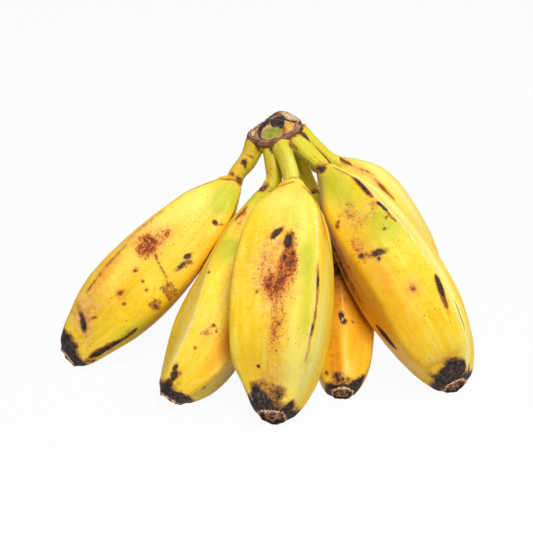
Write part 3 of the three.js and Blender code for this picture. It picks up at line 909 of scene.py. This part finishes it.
def make_finger(node, seed):
    """One finger with its stalk and its scar, in place of its CAD node."""
    look = LOOKS[node]
    finger = Finger(node)
    finger.sharpen(look)
    finger.bend(look)
    fields, field_of = finger_fields(finger, look)
    s = finger.s[:, None]
    turn = np.radians(finger.turn)[None]
    to_end = finger.length - finger.mm[:, None]
    circle = finger.radius.mean() * stacked(np.cos(turn), np.sin(turn))
    skin = stacked(circle[..., 0], circle[..., 1], finger.mm[:, None])
    # The stalk is green and streaked; the neck has a thin brown ring.
    stalk = 1.0 - smooth(s, -0.04, 0.01)
    streak = noise(skin * [0.35, 0.35, 0.03], 1.0, seed + STREAKS)
    greener = STREAK_GREEN * streak + CROWN_GREEN * smooth(-s, 0.3, 0.9)
    deepen(field_of("green"), stalk * (STALK_GREEN + greener))
    ring = np.abs(finger.mm[:, None] - RING_PLACE + RING_WANDER * noise(skin, 6.0, seed + NECK))
    ring = RING_HALF_WIDTH - ring + RING_RAGGED * noise(skin, 3.0, seed + NECK_EDGE) - RING_THINNED
    deepen(field_of("brown"), np.where(np.abs(s) < 0.2, ring, FAR))
    finger.radius += finger_relief(finger, field_of, skin, streak, stalk, seed)
    # One side ends sooner, so that the scar faces a little up or down.
    set_back = look.get("set_back", 0)
    facing = 0.5 + 0.5 * math.copysign(1.0, set_back) * np.cos(turn)
    slide = abs(set_back) * facing * smooth(-to_end, -SET_BACK_RUN, 0.0)
    points = finger.centre[:, None] + finger.directions() * finger.radius[..., None]
    points = points - finger.along[:, None] * slide[..., None]
    # The cap: the lip turns in to a dried, dished scar with the stub of the flower in it.
    edge, out = points[-1], finger.along[-1]
    middle = edge.mean(0)
    rho = (1.0 - (np.arange(CAP_ROWS) + 1) / (CAP_ROWS + CAP_HOLE))[:, None]
    cap = middle + (edge - middle)[None] * rho[..., None]
    crumple = noise(cap, 2.4, seed + CRUMPLE) + 0.5 * noise(cap, 1.1, seed + SMALL_CRUMPLE)
    height = along_row(CAP_PROFILE, rho[:, 0]) + CRUMPLE_HEIGHT * crumple * smooth(rho, 1.0, 0.8)
    hub = middle + out * CAP_PROFILE[0][1]
    points = np.concatenate([points, cap + out * height[..., None]])
    points[..., 2] = np.maximum(points[..., 2], 0.0)
    hub[2] = max(hub[2], 0.0)
    # The fields run on over the cap.
    field_of("cap")[:] = smooth(-to_end, -0.9, 0.0)
    field_of("rho")[:] = 1.0
    fields = {group: np.concatenate([values, np.repeat(values[-1:], CAP_ROWS, axis=0)])
              for group, values in fields.items()}
    fields["wear"][len(finger.s):, :, 1] = 1.0
    fields["wear"][len(finger.s):, :, 2] = rho
    cap_skin = stacked(circle[..., 0] * rho, circle[..., 1] * rho, finger.mm[-1] + (1.0 - rho) * CAP_LENGTH)
    fields["skin"] = np.concatenate([skin, cap_skin])
    piece = grid_mesh(node.replace("banana", "finger"), points, finger.centre[0], hub, fields)
    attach(piece, "root")
    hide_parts(node)
    return piece


# ---------------------------------------------------------------- materials


def srgb(red, green, blue):
    """A colour given as a screen shows it, 0 to 255, as the linear one that shaders take."""
    out = []
    for c in (red, green, blue):
        c = c / 255.0
        out.append(c / 12.92 if c <= 0.04045 else ((c + 0.055) / 1.055) ** 2.4)
    return (*out, 1.0)


class Value:
    """A number that the shader works out, with plain arithmetic."""

    def __init__(self, graph, socket):
        self.graph = graph
        self.socket = socket

    def __add__(self, other):
        return self.graph.math("ADD", self, other)

    def __sub__(self, other):
        return self.graph.math("SUBTRACT", self, other)

    def __rsub__(self, other):
        return self.graph.math("SUBTRACT", other, self)

    def __mul__(self, other):
        return self.graph.math("MULTIPLY", self, other)

    __radd__ = __add__
    __rmul__ = __mul__


class Graph:
    """Short names for making the nodes of a material or of the world."""

    def __init__(self, owner):
        self.owner = owner
        owner.use_nodes = True
        self.tree = owner.node_tree
        self.colour = None

    def put(self, socket, value):
        value = value.socket if isinstance(value, Value) else value
        if isinstance(value, bpy.types.NodeSocket):
            self.tree.links.new(value, socket)
        else:
            socket.default_value = value

    def node(self, kind, inputs=(), **settings):
        """Makes a node and gives its outputs."""
        made = self.tree.nodes.new(kind)
        for key, value in settings.items():
            setattr(made, key, value)
        for key, value in dict(inputs).items():
            self.put(made.inputs[key], value)
        return made.outputs

    def math(self, operation, a, b, clamp=False):
        return Value(self, self.node("ShaderNodeMath", {0: a, 1: b}, operation=operation, use_clamp=clamp)[0])

    def highest(self, first, *others):
        for other in others:
            first = self.math("MAXIMUM", first, other)
        return first

    def step(self, value, low, high, start=0.0, end=1.0):
        """start below low, end above high, smooth between."""
        sizes = {"Value": value, "From Min": low, "From Max": high, "To Min": start, "To Max": end}
        return Value(self, self.node("ShaderNodeMapRange", sizes, interpolation_type="SMOOTHSTEP")[0])

    def mix(self, share, a, b):
        """Two colours mixed. A tone is three numbers as a screen shows it."""
        a, b = (srgb(*tone) if isinstance(tone, tuple) else tone for tone in (a, b))
        return self.node("ShaderNodeMix", {0: share, 6: a, 7: b}, data_type="RGBA")[2]

    def paint(self, share, tone):
        """Lays a tone over the colour so far."""
        self.colour = self.mix(share, self.colour, tone)

    def moved(self, vector, by):
        return self.node("ShaderNodeVectorMath", {0: vector, 1: by}, operation="ADD")[0]

    def scaled(self, vector, by):
        return self.node("ShaderNodeVectorMath", {0: vector, 1: by}, operation="MULTIPLY")[0]

    def noise(self, vector, size, detail=2.0, roughness=0.5, distortion=0.0, scale=None):
        """Noise from 0 to 1 with features about size millimetres across."""
        vector = self.scaled(vector, scale) if scale else vector
        sizes = {"Vector": vector, "Scale": 1.0 / size, "Detail": detail, "Roughness": roughness,
                 "Distortion": distortion}
        return Value(self, self.node("ShaderNodeTexNoise", sizes)["Fac"])

    def field(self, name):
        return self.node("ShaderNodeAttribute", attribute_name=name)["Vector"]

    def parts(self, vector):
        return [Value(self, part) for part in self.node("ShaderNodeSeparateXYZ", {0: vector})]

    def finished(self, roughness, height, specular, strength, depth):
        """Gives the shader the colour so far and the rest."""
        bump = self.node("ShaderNodeBump", {"Height": height, "Strength": strength, "Distance": depth})
        shader = self.tree.nodes["Principled BSDF"]
        for key, value in (("Base Color", self.colour), ("Roughness", roughness),
                           ("Specular IOR Level", specular), ("Normal", bump[0])):
            self.put(shader.inputs[key], value)
        return self.owner


# Pin-prick dots in the peel: the spacing, the largest radius as a share of it, and the tone.
DOTS = ((1.2, 0.22, (216, 146, 24)), (2.4, 0.13, (176, 104, 28)), (4.4, 0.085, (134, 74, 28)),
        (8.0, 0.06, (80, 42, 28)))


def peel_material(name, shift):
    """Ripe peel with its marks, charred tip and flower scar."""
    g = Graph(bpy.data.materials.new(name))
    skin = g.moved(g.field("skin"), (shift, shift * 0.7, shift * 1.3))
    space = g.scaled(g.node("ShaderNodeNewGeometry")["Position"], (1.0 / MM, 1.0 / MM, 1.0 / MM))
    green, pale, orange = g.parts(g.field("tint"))
    ink, cream, brown = g.parts(g.field("spot"))
    bruise, halo, char = g.parts(g.field("stain_and_shade"))
    net, cap, rho = g.parts(g.field("wear"))
    threads = g.noise(skin, 0.8, 2.0, scale=(1.0, 1.0, 0.03))
    streaks = g.noise(skin, 1.7, 3.0, 0.6, scale=(1.0, 1.0, 0.045))
    bands = g.noise(skin, 7.0, 2.0, scale=(1.0, 1.0, 0.09))
    drift = g.noise(skin, 4.0, 4.0, 0.6, scale=(1.0, 1.0, 0.28))
    fibre = g.noise(skin, 1.3, 4.0, 0.65, scale=(1.0, 1.0, 0.4))
    pores = g.noise(skin, 0.62, 3.0, 0.6, scale=(1.0, 1.0, 0.8))
    clouds = g.noise(skin, 16.0, 3.0)
    grain = g.noise(skin, 0.9, 4.0, 0.65)
    speck = g.noise(skin, 2.2, 3.0, 0.6)
    # The ripe ground: two yellows in clouds, with faint stripes along the finger.
    g.colour = g.mix(g.step(clouds, 0.35, 0.68), (251, 214, 38), (249, 200, 24))
    for pattern, low, high, share, tone in (
            (drift, 0.5, 0.66, 0.6, (252, 228, 92)), (drift, 0.48, 0.34, 0.5, (242, 186, 24)),
            (bands, 0.42, 0.72, 0.3, (252, 221, 62)), (streaks, 0.5, 0.75, 0.4, (253, 231, 92)),
            (streaks, 0.5, 0.28, 0.35, (234, 176, 30)), (threads, 0.52, 0.74, 0.28, (253, 236, 120)),
            (threads, 0.48, 0.3, 0.2, (234, 180, 28)), (fibre, 0.5, 0.72, 0.35, (252, 226, 76)),
            (speck, 0.5, 0.3, 0.35, (236, 178, 34))):
        g.paint(g.step(pattern, low, high) * share, tone)
    # Soft patches. The pale ones are painted highlights on the lit sides, ridges and stalks. The orange ones
    # are partly the skin's own colour and partly painted shade on sides in the gaps between fingers.
    g.paint(pale * (0.62 + clouds * 0.75), (252, 240, 128))
    g.paint(green * ((drift - 0.5) * 1.6 + 0.85),
            g.mix(g.step(drift, 0.4, 0.62), (170, 184, 36), (202, 204, 56)))
    g.paint(orange * (0.4 + speck), (226, 142, 26))
    g.paint(halo * g.step(fibre, 0.32, 0.66, 0.35, 1.1),
            g.mix(g.step(speck, 0.4, 0.6), (222, 152, 70), (240, 186, 108)))
    # Dots, thicker in some clouds.
    for size, largest, tone in DOTS:
        dots = g.node("ShaderNodeTexVoronoi", {"Vector": space, "Scale": 1.0 / size}, feature="F1")
        radius = g.step(g.parts(dots["Color"])[0], 0.35, 0.9, 0.0, largest)
        radius = radius * g.step(clouds, 0.38, 0.6, 0.5, 1.1)
        g.paint(g.step(radius - dots["Distance"], -0.04, 0.04) * 0.85, tone)
    # Granular bruises: orange-brown grains, darker ones between them, and nearly black hearts. The same field
    # holds a few broad, faint patches of painted shade in the gaps between fingers.
    haze = g.math("MULTIPLY", g.step(bruise, 0.2, 1.1), 0.25 + fibre * 1.1, clamp=True)
    g.paint(haze * 0.85, (216, 124, 48))
    shown = g.step(bruise, 0.03, 0.2)
    grains = pores * 0.45 + speck * 0.3 + fibre * 0.25 - (0.62 - bruise * 0.17)
    mask = g.step(grains, -0.03, 0.05) * shown
    g.paint(mask * 0.8, (182, 88, 34))
    g.paint(g.step(grains, 0.04, 0.11) * (shown * 0.85), (118, 50, 32))
    g.paint(g.step(grains, 0.11, 0.19) * (shown * 0.9), (62, 34, 34))
    # Blackening with a soft, smoky edge: the charred tips, and painted shade where some char patches lie in
    # the gaps between fingers and where the stalks meet the crown.
    smoky = (g.noise(space, 5.0, 5.0, 0.62) - 0.5) * 1.7 + (g.noise(space, 1.1, 3.0, 0.6) - 0.5) * 0.9
    char_and_shade_depth = char + smoky * g.step(char, 0.02, 0.3)
    g.paint(g.step(char_and_shade_depth, 0.1, 0.5) * 0.8, (184, 126, 58))
    g.paint(g.step(char_and_shade_depth, 0.36, 0.8) * 0.85, (100, 64, 38))
    mottle = g.step(g.noise(space, 1.5, 4.0, 0.62), 0.44, 0.64)
    g.paint(g.step(char_and_shade_depth, 0.55, 1.0), g.mix(mottle, (36, 29, 30), (86, 70, 62)))
    # Netted russet patches.
    drawn = g.node("ShaderNodeTexNoise", {"Vector": skin, "Scale": 0.7, "Detail": 2.0})
    cells = g.node("ShaderNodeTexVoronoi", {"Vector": g.moved(skin, drawn["Color"]), "Scale": 1.0 / 1.5},
                   feature="DISTANCE_TO_EDGE")
    web = g.step((grain - 0.5) * 1.6 + cells["Distance"], 0.34, 0.1)
    netted = g.math("MULTIPLY", g.step(net + (speck - 0.5) * 8.0, -0.8, 1.4), 0.3 + web, clamp=True)
    g.paint(netted * 0.85, g.mix(g.step(grain, 0.4, 0.56), (172, 100, 22), (98, 50, 20)))
    # Brown and black blots with ragged edges, and corky pale lines.
    ragged = (fibre - 0.5) * 1.7 + (grain - 0.5)
    fresh = g.step(char_and_shade_depth, 0.8, 0.4)                        # not yet charred, and outside the painted shade
    brown_in = brown + ragged * 0.8
    brown_at = g.step(brown_in, -0.35, 0.25)
    g.paint(g.step(brown_in, -1.0, 0.0) * (fresh * 0.4), (210, 130, 40))
    g.paint(brown_at * 0.88, g.mix(g.step(brown_in, 0.1, 0.9), (134, 76, 38), (70, 42, 32)))
    ink_in = ink + ragged
    ink_at = g.step(ink_in, -0.25, 0.2)
    g.paint(g.step(ink_in, -1.0, 0.1) * (fresh * 0.7), (150, 86, 34))
    g.paint(ink_at * 0.95, g.mix(mottle, (34, 25, 24), (74, 52, 42)))
    cream_at = g.step(cream + ragged * 0.6, -0.2, 0.3)
    g.paint(cream_at * g.step(streaks, 0.3, 0.6, 0.4, 0.9), g.mix(speck, (222, 184, 120), (252, 240, 190)))
    # The flower scar: a thin pale lip, folds, and dark hollows between them.
    folds = g.noise(space, 2.4, 4.0, 0.6, 1.6)
    ring = rho + (folds - 0.5) * 0.3
    hollow = g.step(ring, 0.94, 0.84) * g.step(ring, 0.56, 0.74, 0.0, 0.85)
    lip = g.mix(g.step(folds, 0.36, 0.56), (132, 92, 72), (226, 188, 154))
    cork = g.mix(g.step(folds, 0.4, 0.58), (70, 48, 40), (208, 160, 124))
    cork = g.mix(hollow, cork, (50, 35, 31))
    cork = g.mix(g.step(ring, 0.24, 0.1) * 0.8, cork, (44, 32, 29))
    cork = g.mix(g.step(ring, 0.93, 0.98) * 0.9, cork, lip)
    g.paint(g.step(cap + (folds - 0.5) * 0.5, 0.5, 0.8), cork)
    # Waxy skin, dull where it is dried.
    charred = g.step(char_and_shade_depth, 0.32, 0.7)
    dull = g.highest(cap, mask * 0.7, brown_at * 0.7, charred * 0.5, ink_at * 0.4)
    height = streaks * 0.16 + g.noise(skin, 0.55, 3.0, 0.6) * 0.14
    height += g.highest(ink_at, mask) * (grain * 0.4)
    height += charred * ((grain + fibre) * 0.4)
    height += cap * (folds * 1.5)
    roughness = 0.4 + g.noise(skin, 1.3, 3.0) * 0.14 + dull * 0.34
    return g.finished(roughness, height, specular=0.18, strength=0.6, depth=0.7 * MM)


# ---------------------------------------------------------------- the crown

# Places on the cut face are (u, v): across it and up its slope, from its middle.
CUT_NORMAL = unit(np.array([-0.12, -0.5, 0.86]))
CUT_ACROSS = unit(np.array([1.0, 0.0, 0.0]) - CUT_NORMAL * CUT_NORMAL[0])
CUT_AXES = np.array([CUT_ACROSS, np.cross(CUT_NORMAL, CUT_ACROSS), CUT_NORMAL])
CUT_FROM_BOX = (0.13, -4.2, 0.45)    # the cut's middle, from the middle of the CAD crown's box
CUT_HUB = np.array([-0.8, 2.6])
CUT_OUTLINE = [(-14.2, -0.2), (-9, 5.9), (-3.2, 11), (2, 14.4), (7.4, 12.4), (12, 8.2), (13.7, 3.4),
               (9, -1.9), (2.6, -5.3), (-4, -7), (-10.2, -5)]
CUT_COLUMNS = 300
FACE_ROWS = 72
WALL_ROWS = 26
UNDER_ROWS = 30
WALL = slice(FACE_ROWS, FACE_ROWS + WALL_ROWS)
UNDER = slice(FACE_ROWS + WALL_ROWS, None)
WALL_RADIUS = 14
WALL_DEPTH = 3.7
UNDER_DEPTH = 7.4
FLESH_RUN = 4.0                  # how far the flesh's own coordinates run under the wall
FACE_SPREAD = 0.85               # below 1, the rows stand closer at the rim
WALL_SPLITS = ((-9.4, 0.5), (12.9, 0.55), (-13.6, 0.4))     # place across, half width

# Relief of the crown, in millimetres.
DISH_DEPTH = 1.0
RIM_HEIGHT = 0.45
RIM_PLACE = 1.6
RIM_WIDTH = 1.2
HEART_DEPTH = 1.1
HEART_LIP = 0.45
HEART_LIP_PLACE = 1.2
HEART_LIP_WIDTH = 0.8
PATCH_HEIGHT = 0.75
PATCH_BRISTLE = 0.35
SLIT_DEPTH = 0.6
TEAR_DEPTH = 0.5
EDGE_DEPTH = 0.5
AMBER_HEIGHT = 0.3
WALL_BULGE = 0.55
WALL_TUCK = 0.5
WALL_FIBRE_HEIGHT = 0.22
WALL_LUMP_HEIGHT = 0.2
UNDER_LUMP_HEIGHT = 0.3

# The seeds of its noises.
(FACE_FIBRES, FACE_FINE, FACE_LUMPS, FACE_CRUMBS, PATCH_BRUSH, WALL_FIBRES, WALL_LUMPS,
 UNDER_LUMPS) = range(901, 909)


def cut_oval(flat, at, *size):
    """How far inside an oval on the cut face each point lies."""
    return inside_oval(flat[..., 0] - at[0], flat[..., 1] - at[1], *size)


def cut_line(flat, half, *places):
    """How far inside a line of that half width each point lies."""
    best = np.full(flat.shape[:2], FAR)
    for a, b in zip(np.array(places[:-1], float), np.array(places[1:], float)):
        deepen(best, half - from_line(flat[..., 0] - a[0], flat[..., 1] - a[1], b - a))
    return best


def past_face(values):
    """A field of the cut face, well outside every mark on the rows below it."""
    return np.concatenate([values, np.full((WALL_ROWS + UNDER_ROWS, CUT_COLUMNS), FAR)])


def make_crown():
    """The cut face, the dried wall round it and the flesh under it, as one skin."""
    low, high = (np.array(c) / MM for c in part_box("crown"))
    middle = (low + high) / 2 + CUT_FROM_BOX
    corners = np.array(CUT_OUTLINE + CUT_OUTLINE[:1])[::-1]
    steps = np.concatenate([[0], np.cumsum(np.linalg.norm(np.diff(corners, axis=0), axis=1))])
    round_knots = np.concatenate([steps[-4:-1] - steps[-1], steps, steps[1:4] + steps[-1]])
    round_corners = np.concatenate([corners[-4:-1], corners, corners[1:4]])
    columns = np.arange(CUT_COLUMNS) / CUT_COLUMNS
    outline = spline_weights(round_knots, steps[-1] * columns) @ round_corners
    spoke = outline - CUT_HUB
    reach = np.linalg.norm(spoke, axis=1)
    # The cut face.
    rho = (((np.arange(FACE_ROWS) + 0.7) / (FACE_ROWS - 0.3)) ** FACE_SPREAD)[:, None]
    u = CUT_HUB[0] + rho * spoke[:, 0]
    v = CUT_HUB[1] + rho * spoke[:, 1]
    face = stacked(u, v, 0.0)
    inward = (1.0 - rho) * reach                          # millimetres in from the rim
    heart = cut_oval(face, (-1.7, 1.4), 13.4, 10.4, 16)
    amber = cut_oval(face, (6.2, 3.2), 8.4, 6.0, 60)
    patch = cut_oval(face, (1.4, 8.0), 8.2, 5.2, 28)
    deepen(patch, cut_line(face, 1.2, (3.6, 8.0), (3.8, 5.4), (3.0, 4.6)),
           cut_line(face, 0.7, (0, 8.8), (-2.8, 8.0), (-6.4, 5.0), (-7.8, 3.0)))
    pale = cut_oval(face, (7.6, 9.5), 9.5, 3.6, -34)
    deepen(pale, cut_oval(face, (-11.2, 0.4), 3.6, 2.0, 70), cut_oval(face, (7.0, 5.9), 6.6, 2.0, -30))
    tear = cut_line(face, 0.75, (-7.7, 3.4), (-8.1, 0.8), (-7.8, -1.8), (-6.6, -3.4))
    slit = cut_line(face, 0.55, (3.2, 10.3), (6.2, 8.0), (8.4, 6.9), (10.4, 6.3))
    deepen(slit, cut_line(face, 0.4, (-8.8, 4.8), (-3.0, 10.0), (1.6, 13.0)),
           cut_line(face, 0.45, (12.0, 3.8), (12.6, 5.8)))
    fibre = noise(stacked(u * 0.35, v * 0.35, inward * 1.5), 1.0, FACE_FIBRES)
    fine = noise(stacked(u * 0.8, v * 0.8, inward * 3.2), 1.0, FACE_FINE)
    brush = noise(stacked(u * 0.5 + v * 0.9, v * 0.2, u * 0.2), 0.6, PATCH_BRUSH)
    texture = 0.3 * fibre + 0.16 * fine + 0.12 * noise(face, 3.0, FACE_LUMPS)
    # A dished face with a raised rim, a sunken heart with a lip, a torn patch and slits.
    height = RIM_HEIGHT * np.exp(-((inward - RIM_PLACE) / RIM_WIDTH) ** 2) - DISH_DEPTH * (1.0 - rho ** 2)
    height = height - HEART_DEPTH * smooth(heart, -0.9, 1.2)
    height = height + HEART_LIP * np.exp(-((heart + HEART_LIP_PLACE) / HEART_LIP_WIDTH) ** 2)
    height = height + (1.0 - smooth(heart, -0.8, 0.2)) * texture + 0.08 * noise(face, 0.9, FACE_CRUMBS)
    height = height + smooth(patch, -0.2, 0.9) * (PATCH_HEIGHT + PATCH_BRISTLE * brush)
    height = height - SLIT_DEPTH * smooth(slit, -0.5, 0.4) - TEAR_DEPTH * smooth(tear, -0.6, 0.4)
    height = height - EDGE_DEPTH * smooth(inward, 0.9, 0.0) + AMBER_HEIGHT * smooth(amber, -0.5, 1.5)
    face[..., 2] = height
    # The dried wall round it.
    down = ((np.arange(WALL_ROWS) + 1) / WALL_ROWS)[:, None]
    x, y = WALL_RADIUS * np.cos(2.0 * np.pi * columns), WALL_RADIUS * np.sin(2.0 * np.pi * columns)
    wall_fibre = noise(stacked(x * 0.4, y * 0.4, down * WALL_DEPTH * 1.6), 1.0, WALL_FIBRES)
    wall_lump = noise(stacked(x, y, down * WALL_DEPTH), 2.6, WALL_LUMPS)
    bulge = WALL_BULGE * np.sin(np.pi * down) - WALL_TUCK * smooth(down, 0.85, 1.0)
    push = (bulge + WALL_FIBRE_HEIGHT * wall_fibre + WALL_LUMP_HEIGHT * wall_lump) / reach
    wall = stacked(outline[:, 0] + spoke[:, 0] * push, outline[:, 1] + spoke[:, 1] * push,
                   height[-1] - down * (WALL_DEPTH + height[-1]))
    # The flesh under it, which the stalks grow from.
    under = ((np.arange(UNDER_ROWS) + 1) / UNDER_ROWS)[:, None]
    shrink = 1.0 + 0.07 * np.sin(np.pi * np.minimum(under * 2.2, 1.0)) - 0.93 * under ** 5.0
    start = wall[-1, :, :2] - CUT_HUB
    base = stacked(CUT_HUB[0] + shrink * start[:, 0], CUT_HUB[1] + shrink * start[:, 1],
                   -WALL_DEPTH - UNDER_DEPTH * under ** 0.9)
    base[..., 2] += UNDER_LUMP_HEIGHT * noise(base, 3.0, UNDER_LUMPS)
    points = middle + np.concatenate([face, wall, base]) @ CUT_AXES
    # The fields: marks of the face, the flesh, splits in the face and the wall, and the wall's band.
    flesh = np.full(points.shape[:2], FAR)
    flesh[WALL] = (down - 0.97) * WALL_DEPTH - 0.1
    flesh[UNDER] = 0.2 + under * FLESH_RUN
    split = past_face(np.maximum(slit, tear))
    for place, half in WALL_SPLITS:
        near = np.where(outline[:, 1] < 4.0, half - np.abs(outline[:, 0] - place), FAR)
        deepen(split[WALL], np.where(down < 0.95, near, FAR))
    band = np.zeros(points.shape[:2])
    band[:FACE_ROWS] = smooth(inward, 1.3, 0.5) * (v < 3.0)
    band[WALL] = 1.0
    fibre_at = np.concatenate([stacked(u, v, inward), stacked(*outline.T, -down * WALL_DEPTH),
                               stacked(*outline.T, -WALL_DEPTH - FLESH_RUN * under)])
    fields = {"zone": stacked(past_face(heart), past_face(patch), past_face(pale)),
              "zone2": stacked(past_face(amber), flesh, split),
              "zone3": stacked(band, 0.0, 0.0), "fibre": fibre_at}
    below = points[-1].mean(0) - CUT_NORMAL * 0.2
    piece = grid_mesh("cut_crown", points, points[0].mean(0), below, fields)
    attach(piece, "root")
    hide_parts("crown")
    return piece


def crown_material():
    """A dried cut: fibres, a green heart, a black patch, and yellow flesh under the wall."""
    g = Graph(bpy.data.materials.new("dried_crown"))
    heart, patch, pale = g.parts(g.field("zone"))
    amber, flesh, split = g.parts(g.field("zone2"))
    band = g.parts(g.field("zone3"))[0]
    place = g.field("fibre")
    fibres = g.noise(place, 1.0, 4.0, 0.6, 0.4, scale=(0.3, 0.3, 2.4))
    fine = g.noise(place, 1.0, 3.0, 0.6, scale=(0.9, 0.9, 5.0))
    clouds = g.noise(place, 4.0, 3.0)
    ragged = (g.noise(place, 1.3, 4.0, 0.6) - 0.5) * 2.0
    g.colour = g.mix(g.step(fibres, 0.4, 0.6), (76, 50, 40), (192, 142, 100))
    g.paint(g.step(fine, 0.5, 0.7) * 0.5, (216, 172, 132))
    wall = g.mix(g.step(fibres, 0.34, 0.66), (84, 54, 42), (162, 114, 82))
    g.paint(band, g.mix(g.step(fine, 0.55, 0.75) * 0.35, wall, (198, 152, 116)))
    g.paint(g.step(pale + ragged, -0.3, 0.5) * 0.85,
            g.mix(g.step(fine, 0.35, 0.6), (204, 150, 108), (250, 220, 182)))
    g.paint(g.step(amber + ragged, -0.4, 0.6),
            g.mix(g.step(clouds, 0.4, 0.62), (218, 156, 62), (242, 200, 118)))
    g.paint(g.step(heart + ragged * 0.4, -0.3, 0.2),
            g.mix(g.step(clouds, 0.4, 0.6), (150, 96, 56), (222, 172, 104)))
    green = g.mix(g.step(clouds, 0.38, 0.64), (160, 154, 52), (120, 132, 36))
    green = g.mix(g.step(g.noise(place, 1.1, 3.0), 0.62, 0.72), green, (96, 92, 40))
    g.paint(g.step(heart + ragged * 0.7, 0.2, 2.4), green)
    g.paint(g.step(patch + ragged * 0.5, -0.25, 0.25),
            g.mix(g.step(fine, 0.45, 0.75), (34, 28, 28), (110, 92, 84)))
    flesh_tone = g.mix(g.step(clouds, 0.4, 0.6), (206, 200, 58), (204, 172, 48))
    flesh_tone = g.mix(g.step(flesh, 0.45, 0.2), flesh_tone, (176, 110, 40))
    g.paint(g.step(flesh, -0.1, 0.15), flesh_tone)
    g.paint(g.step(split + ragged * 0.35, -0.2, 0.25) * 0.92, (44, 32, 30))
    wet = g.step(g.highest(heart, flesh), -0.2, 0.6)
    height = fibres * 0.8 + fine * 0.45
    return g.finished(0.82 - wet * 0.36, height, specular=0.35, strength=0.7, depth=0.6 * MM)


# ---------------------------------------------------------------- the pieces

SEED_START = 1
SEED_STEP = 20                   # between one finger's noises and the next one's
SHIFT_STEP = 37.0                # between one peel's patterns and the next one's

for order, node in enumerate(FINGERS):
    finger = make_finger(node, SEED_STEP * order + SEED_START)
    finger.data.materials.append(peel_material(node.replace("banana", "peel"), SHIFT_STEP * order))
cut_crown = make_crown()
cut_crown.data.materials.append(crown_material())

# ---------------------------------------------------------------- floor, light, camera

AIM = Vector((0.0020, -0.0162, 0.0471))
VIEW_DOWN = math.radians(23.0)
VIEW_DISTANCE = 0.8
SENSOR_WIDTH = 36.0
LENS = 108.07
FLOOR_SIZE = 8.0
FLOOR_GREY = (0.6, 0.6, 0.6, 1.0)
FLOOR_SHOWN_WHITE = 0.95         # the rest of what the camera sees of it is the lit grey
WHITE = (1.0, 1.0, 1.0, 1.0)
SKY_LIGHT = 0.1


def backdrop(owner, output, lit, shown, share):
    """Rays that see it directly get the shown shader, at that share. The rest get the lit one."""
    g = Graph(owner)
    g.tree.nodes.clear()
    path = g.node("ShaderNodeLightPath")
    direct = g.highest(path["Is Camera Ray"], path["Is Glossy Ray"], path["Is Transmission Ray"])
    mix = g.node("ShaderNodeMixShader", {0: direct * share, 1: g.node(*lit)[0], 2: g.node(*shown)[0]})
    g.node(output, {"Surface": mix[0]})


def aimed(name, data, place):
    """Puts a lamp or a camera in its place, looking at the aim."""
    made = bpy.data.objects.new(name, data)
    bpy.context.scene.collection.objects.link(made)
    made.location = place
    made.rotation_euler = (AIM - Vector(place)).to_track_quat("-Z", "Y").to_euler()
    return made


def lamp(name, place, size, power):
    data = bpy.data.lights.new(name, "AREA")
    data.shape = "DISK"
    data.size = size
    data.energy = power
    aimed(name, data, place)


bpy.ops.mesh.primitive_plane_add(size=FLOOR_SIZE, location=(0.0, 0.0, 0.0))
floor = bpy.context.object
floor.name = "floor"
floor.data.materials.append(bpy.data.materials.new("floor"))
backdrop(floor.data.materials[0], "ShaderNodeOutputMaterial",
         ("ShaderNodeBsdfDiffuse", {"Color": FLOOR_GREY}), ("ShaderNodeEmission",), FLOOR_SHOWN_WHITE)
world = bpy.data.worlds.new("studio")
bpy.context.scene.world = world
backdrop(world, "ShaderNodeOutputWorld",
         ("ShaderNodeBackground", {"Color": WHITE, "Strength": SKY_LIGHT}),
         ("ShaderNodeBackground", {"Color": WHITE}), 1.0)

lamp("key", (0.22, -0.62, 1.13), 0.5, 15.8)
lamp("side", (0.9, -0.05, 0.95), 0.4, 2.8)
lamp("fill", (-0.9, -0.4, 0.8), 0.8, 1.3)

camera_data = bpy.data.cameras.new("camera")
camera_data.sensor_width = SENSOR_WIDTH
camera_data.lens = LENS
towards = Vector((0.0, -math.cos(VIEW_DOWN), math.sin(VIEW_DOWN)))
bpy.context.scene.camera = aimed("camera", camera_data, AIM + VIEW_DISTANCE * towards)
bpy.context.scene.view_settings.view_transform = "Standard"
